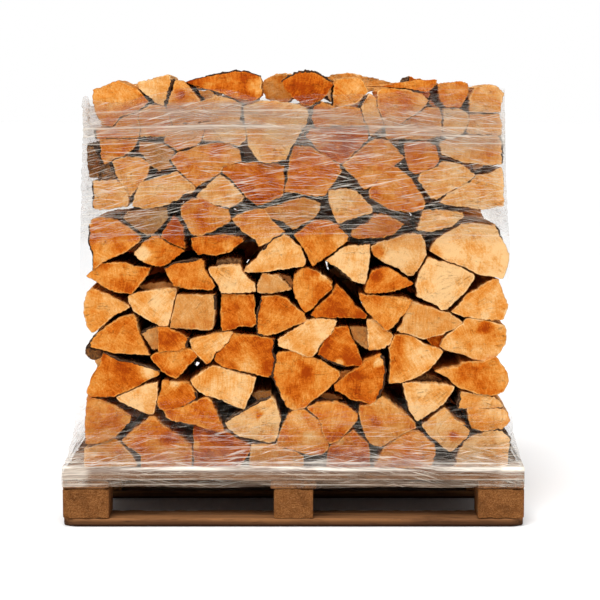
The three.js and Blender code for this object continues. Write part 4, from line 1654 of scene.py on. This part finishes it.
@dataclass
class FilmWrap:
    """The stretch film: one closed thin wall round the stack, hooked under the deck.

    levels are height, half length, half width, corner radius and shift to the right;
    side_slack is the folds' share on the left and right sides; below taut_below the film
    lies close on the deck. In an upper and a lower band more film lies and crinkles.
    """

    wall: float = 0.0006
    columns: int = 288
    seed: int = 52
    foot: float = 0.1045
    head: float = 1.122
    mean_sides: tuple[float, float] = (0.56, 0.355)
    levels: tuple[tuple[float, float, float, float, float], ...] = (
        (0.100, 0.6015, 0.4015, 0.003, 0.0), (0.150, 0.6015, 0.4015, 0.003, 0.0),
        (0.176, 0.5925, 0.3865, 0.012, 0.0), (0.238, 0.5775, 0.3585, 0.022, 0.0),
        (0.420, 0.5655, 0.3545, 0.020, 0.0040), (0.720, 0.5615, 0.3545, 0.020, 0.0035),
        (0.860, 0.5530, 0.3545, 0.020, 0.0010), (1.060, 0.5485, 0.3545, 0.020, 0.0005),
        (1.128, 0.5480, 0.3540, 0.020, 0.0005), (1.200, 0.5400, 0.3500, 0.020, 0.0))
    side_slack: tuple[float, float] = (1.2, 0.5)
    taut_below: float = 0.155
    fold_depth: float = 0.0010
    slack_depth: float = 0.0009
    sink_limit: float = 0.0012

    def heights(self) -> np.ndarray:
        """Shares of the film's height for its rows, closer together in the two bands."""
        return np.concatenate([np.linspace(0.0, 0.2, 52, endpoint=False),
                               np.linspace(0.2, 0.6, 28, endpoint=False),
                               np.linspace(0.6, 1.0, 72)])

    def outline(self, half_length: np.ndarray, half_width: np.ndarray,
                radius: np.ndarray) -> tuple[np.ndarray, np.ndarray]:
        """A rounded rectangle for each row, at even steps round it.

        A point's direction runs evenly round the rectangle's perimeter; it is pushed onto
        the inner rectangle and then out by the corner radius.

        Args:
            half_length: half the side along x, by row.
            half_width: half the side along y, by row.
            radius: the corner radius, by row.

        Returns:
            Points and outward directions, both rows by columns by two.
        """
        square = np.array([[1, 0], [1, 1], [-1, 1], [-1, -1], [1, -1]], float)
        base = resampled(square * self.mean_sides, self.columns) / self.mean_sides
        corner = np.stack([half_length, half_width], axis=1)[:, None]
        full = base[None] * corner
        inner = np.clip(full, -(corner - radius[:, None, None]), corner - radius[:, None, None])
        gap = full - inner
        size = np.linalg.norm(gap, axis=2, keepdims=True)
        on_x = np.abs(base[:, :1]) > 0.9999
        side = np.sign(base) * np.where(on_x, (1.0, 0.0), (0.0, 1.0))
        out = np.where(size > 1e-7, gap / np.maximum(size, 1e-7), side[None])
        return inner + out * radius[:, None, None], out

    def lift(self, flat: np.ndarray, out: np.ndarray, z: np.ndarray,
             winding: np.ndarray) -> np.ndarray:
        """How far the film stands off its mean surface.

        Folds are noise with short waves in height and long ones round the stack, strong in
        the bands, and slack is a broader noise. The two short sides are given their own
        share, the long ones can't sink far into the splits, and at the deck the film is taut.

        Args:
            flat: places round the stack, row by row.
            out: outward directions.
            z: heights.
            winding: heights along the winding.

        Returns:
            The distance at each point.
        """
        band = np.maximum(smoothstep(z, 0.72, 0.86), 1 - smoothstep(z, 0.17, 0.36))
        waved = np.concatenate([flat * 2.2, winding[..., None] * 62], axis=2)
        folds = ripple(waved, self.seed + 3)
        folds += 0.6 * ripple(waved * (2.2, 2.2, 2.6), self.seed + 4)
        place = np.concatenate([flat, z[..., None]], axis=2)
        slack = ripple(place * (5.0, 5.0, 9.0), self.seed + 5)
        lift = (self.fold_depth * np.clip(folds, -1.2, 2.4) * (0.12 + band)
                + self.slack_depth * slack * (0.3 + band))
        left, right = self.side_slack
        lift = np.where(np.abs(out[..., 0]) > 0.7,
                        lift * np.where(out[..., 0] > 0, right, left),
                        np.maximum(lift, -self.sink_limit))
        return np.where(z < self.taut_below, np.clip(lift, -0.0002, 0.0025), lift)

    def skin(self) -> tuple[np.ndarray, np.ndarray, np.ndarray]:
        """The film's outer face, between a wavy foot and a wavy head.

        The winding rises and falls by a few centimetres once and twice round.

        Returns:
            Its points, its outward directions and its places along the winding.
        """
        share = self.heights()[:, None]
        turn = np.linspace(0, 2 * math.pi, self.columns, endpoint=False)
        circle = unit_circle(self.columns)
        foot = self.foot + 0.0012 * ripple(circle * 2.2, self.seed)
        head = (self.head + 0.011 * ripple(circle * 1.2, self.seed + 1)
                + 0.0025 * ripple(circle * 3.5, self.seed + 2))
        z = foot + (head - foot) * share
        table = np.array(self.levels)
        rows = self.foot + (self.head - self.foot) * share[:, 0]
        *size, aside = (np.interp(rows, table[:, 0], column) for column in table.T[1:])
        flat, out = self.outline(*size)
        flat[..., 0] += aside[:, None]
        winding = z + 0.022 * np.sin(turn + 0.6) + 0.014 * np.sin(2 * turn + 2.0)
        flat = flat + out * self.lift(flat, out, z, winding)[..., None]
        skin, wound = (np.concatenate([flat, height[..., None]], axis=2)
                       for height in (z, winding))
        return skin, out, wound

    def build(self, outer: bpy.types.Material, inner: bpy.types.Material) -> None:
        """Close the outer and an inner skin into one thin wall.

        Args:
            outer: the outer skin's finish.
            inner: the inner skin's finish.
        """
        skin, out, wound = self.skin()
        rows, count, _ = skin.shape
        inside = skin.copy()
        inside[..., :2] -= out * self.wall
        points, places = (np.concatenate([first, second[::-1]]).reshape(-1, 3)
                          for first, second in ((skin, inside), (wound, wound)))
        loops = np.arange(2 * rows * count).reshape(2 * rows, count)
        above = np.roll(loops, -1, axis=0)
        faces = np.stack([loops, np.roll(loops, -1, axis=1), np.roll(above, -1, axis=1),
                          above], axis=-1).reshape(-1, 4)
        slots = np.repeat(np.arange(2 * rows) >= rows - 1, count)
        made = linked_mesh("film_wrap", points, faces.tolist(), slots, {"wound": places},
                           [outer, inner])
        enrol(made, "film", "stretch_film")


# ---------------------------------------------------------------- studio


@dataclass
class Studio:
    """Camera, soft lights and a pale floor; lamps are name, place, power and size."""

    eye: tuple[float, float, float] = (0.017, -4.9, 1.1)
    pitch: float = 4.5213
    lens: float = 105.406
    shift: float = -0.0967
    aim: tuple[float, float, float] = (0.0, 0.0, 0.6)
    to_ceiling: tuple[float, float, float] = (-0.25, -1.0, 1.95)
    ceiling_strength: float = 3.0
    ceiling_spread: float = 36.0
    lamps: tuple[tuple[str, tuple[float, float, float], float, float], ...] = (
        ("left", (-3.2, -3.4, 3.3), 34.0, 1.6), ("right", (3.2, -3.4, 3.0), 18.0, 2.2),
        ("behind", (2.2, 3.4, 4.2), 60.0, 2.0))
    ambient: float = 0.25
    floor_half: float = 90.0
    floor_drop: float = 0.0005

    @staticmethod
    def placed(name: str, data: bpy.types.ID, place: tuple[float, float, float],
               turn: tuple[float, float, float]) -> bpy.types.Object:
        """Put a camera or a lamp in the scene.

        Args:
            name: its name.
            data: what it is.
            place: where it stands.
            turn: its turn about x, y and z.

        Returns:
            The object.
        """
        made = bpy.data.objects.new(name, data)
        made.location, made.rotation_euler = place, turn
        bpy.context.collection.objects.link(made)
        return made

    @staticmethod
    def turn_along(way: np.ndarray) -> tuple[float, float, float]:
        """The turn that points a lamp along a direction."""
        flat = math.hypot(way[0], way[1])
        return math.atan2(flat, -way[2]), 0.0, math.atan2(way[1], way[0]) - math.pi / 2

    def camera(self) -> None:
        """A long lens in front of the stack, a little above its middle."""
        data = bpy.data.cameras.new("view")
        data.lens, data.sensor_width, data.shift_y = self.lens, 36.0, self.shift
        level = (math.radians(90 - self.pitch), 0.0, 0.0)
        bpy.context.scene.camera = self.placed("view", data, self.eye, level)

    def lights(self) -> None:
        """A wide soft light from the ceiling, and square lamps that look at the stack."""
        data = bpy.data.lights.new("ceiling", "SUN")
        data.energy, data.angle = self.ceiling_strength, math.radians(self.ceiling_spread)
        self.placed("ceiling", data, (0.0, 0.0, 0.0),
                    self.turn_along(-np.array(self.to_ceiling)))
        for name, place, power, size in self.lamps:
            data = bpy.data.lights.new(name, "AREA")
            data.energy, data.size = power, size
            way = np.array(self.aim) - np.array(place)
            self.placed(name, data, place, self.turn_along(way)).visible_camera = False

    def floor(self) -> None:
        """A wide pale plane, nearly white under the lights."""
        side = self.floor_half
        corners = np.array([(-side, -side, 0), (side, -side, 0), (side, side, 0),
                            (-side, side, 0)])
        pale = Bench("pale_floor").principled({"Base Color": (0.94, 0.94, 0.94, 1.0),
                                               "Roughness": 0.8, "Specular IOR Level": 0.1})
        made = linked_mesh("floor", corners, [[0, 1, 2, 3]], np.zeros(1), {}, [pale])
        made.location.z = -self.floor_drop

    def world(self) -> None:
        """Even light from all round; the camera and reflections see it as white."""
        world = bpy.data.worlds.new("studio")
        world.use_nodes = True
        nodes, links = world.node_tree.nodes, world.node_tree.links
        nodes.clear()
        path = nodes.new("ShaderNodeLightPath")
        seen = nodes.new("ShaderNodeMath")
        seen.operation = "MAXIMUM"
        links.new(path.outputs["Is Camera Ray"], seen.inputs[0])
        links.new(path.outputs["Is Glossy Ray"], seen.inputs[1])
        strength = nodes.new("ShaderNodeMapRange")
        links.new(seen.outputs[0], strength.inputs["Value"])
        strength.inputs["To Min"].default_value = self.ambient
        strength.inputs["To Max"].default_value = 1.0
        light = nodes.new("ShaderNodeBackground")
        light.inputs["Color"].default_value = (1.0, 1.0, 1.0, 1.0)
        links.new(strength.outputs[0], light.inputs["Strength"])
        links.new(light.outputs[0], nodes.new("ShaderNodeOutputWorld").inputs[0])
        bpy.context.scene.world = world

    def build(self) -> None:
        """Set everything up."""
        bpy.context.scene.view_settings.view_transform = "Standard"
        self.camera()
        self.floor()
        self.world()
        self.lights()


def main() -> None:
    """Build the pallet, both rows and the film."""
    logging.basicConfig(level=logging.INFO, format="%(name)s %(message)s")
    Studio().build()
    Pallet().build(PalletBoard().material(), PressedChips().material(),
                   NailSteel().material())
    wood = [SawnEnd().material(), CleftSide().material(), Bark().material()]
    for row in Row:
        SplitRow(row).build(wood)
    FilmWrap().build(StretchFilm().material(), FilmInside().material())


if __name__ == "__main__":
    main()
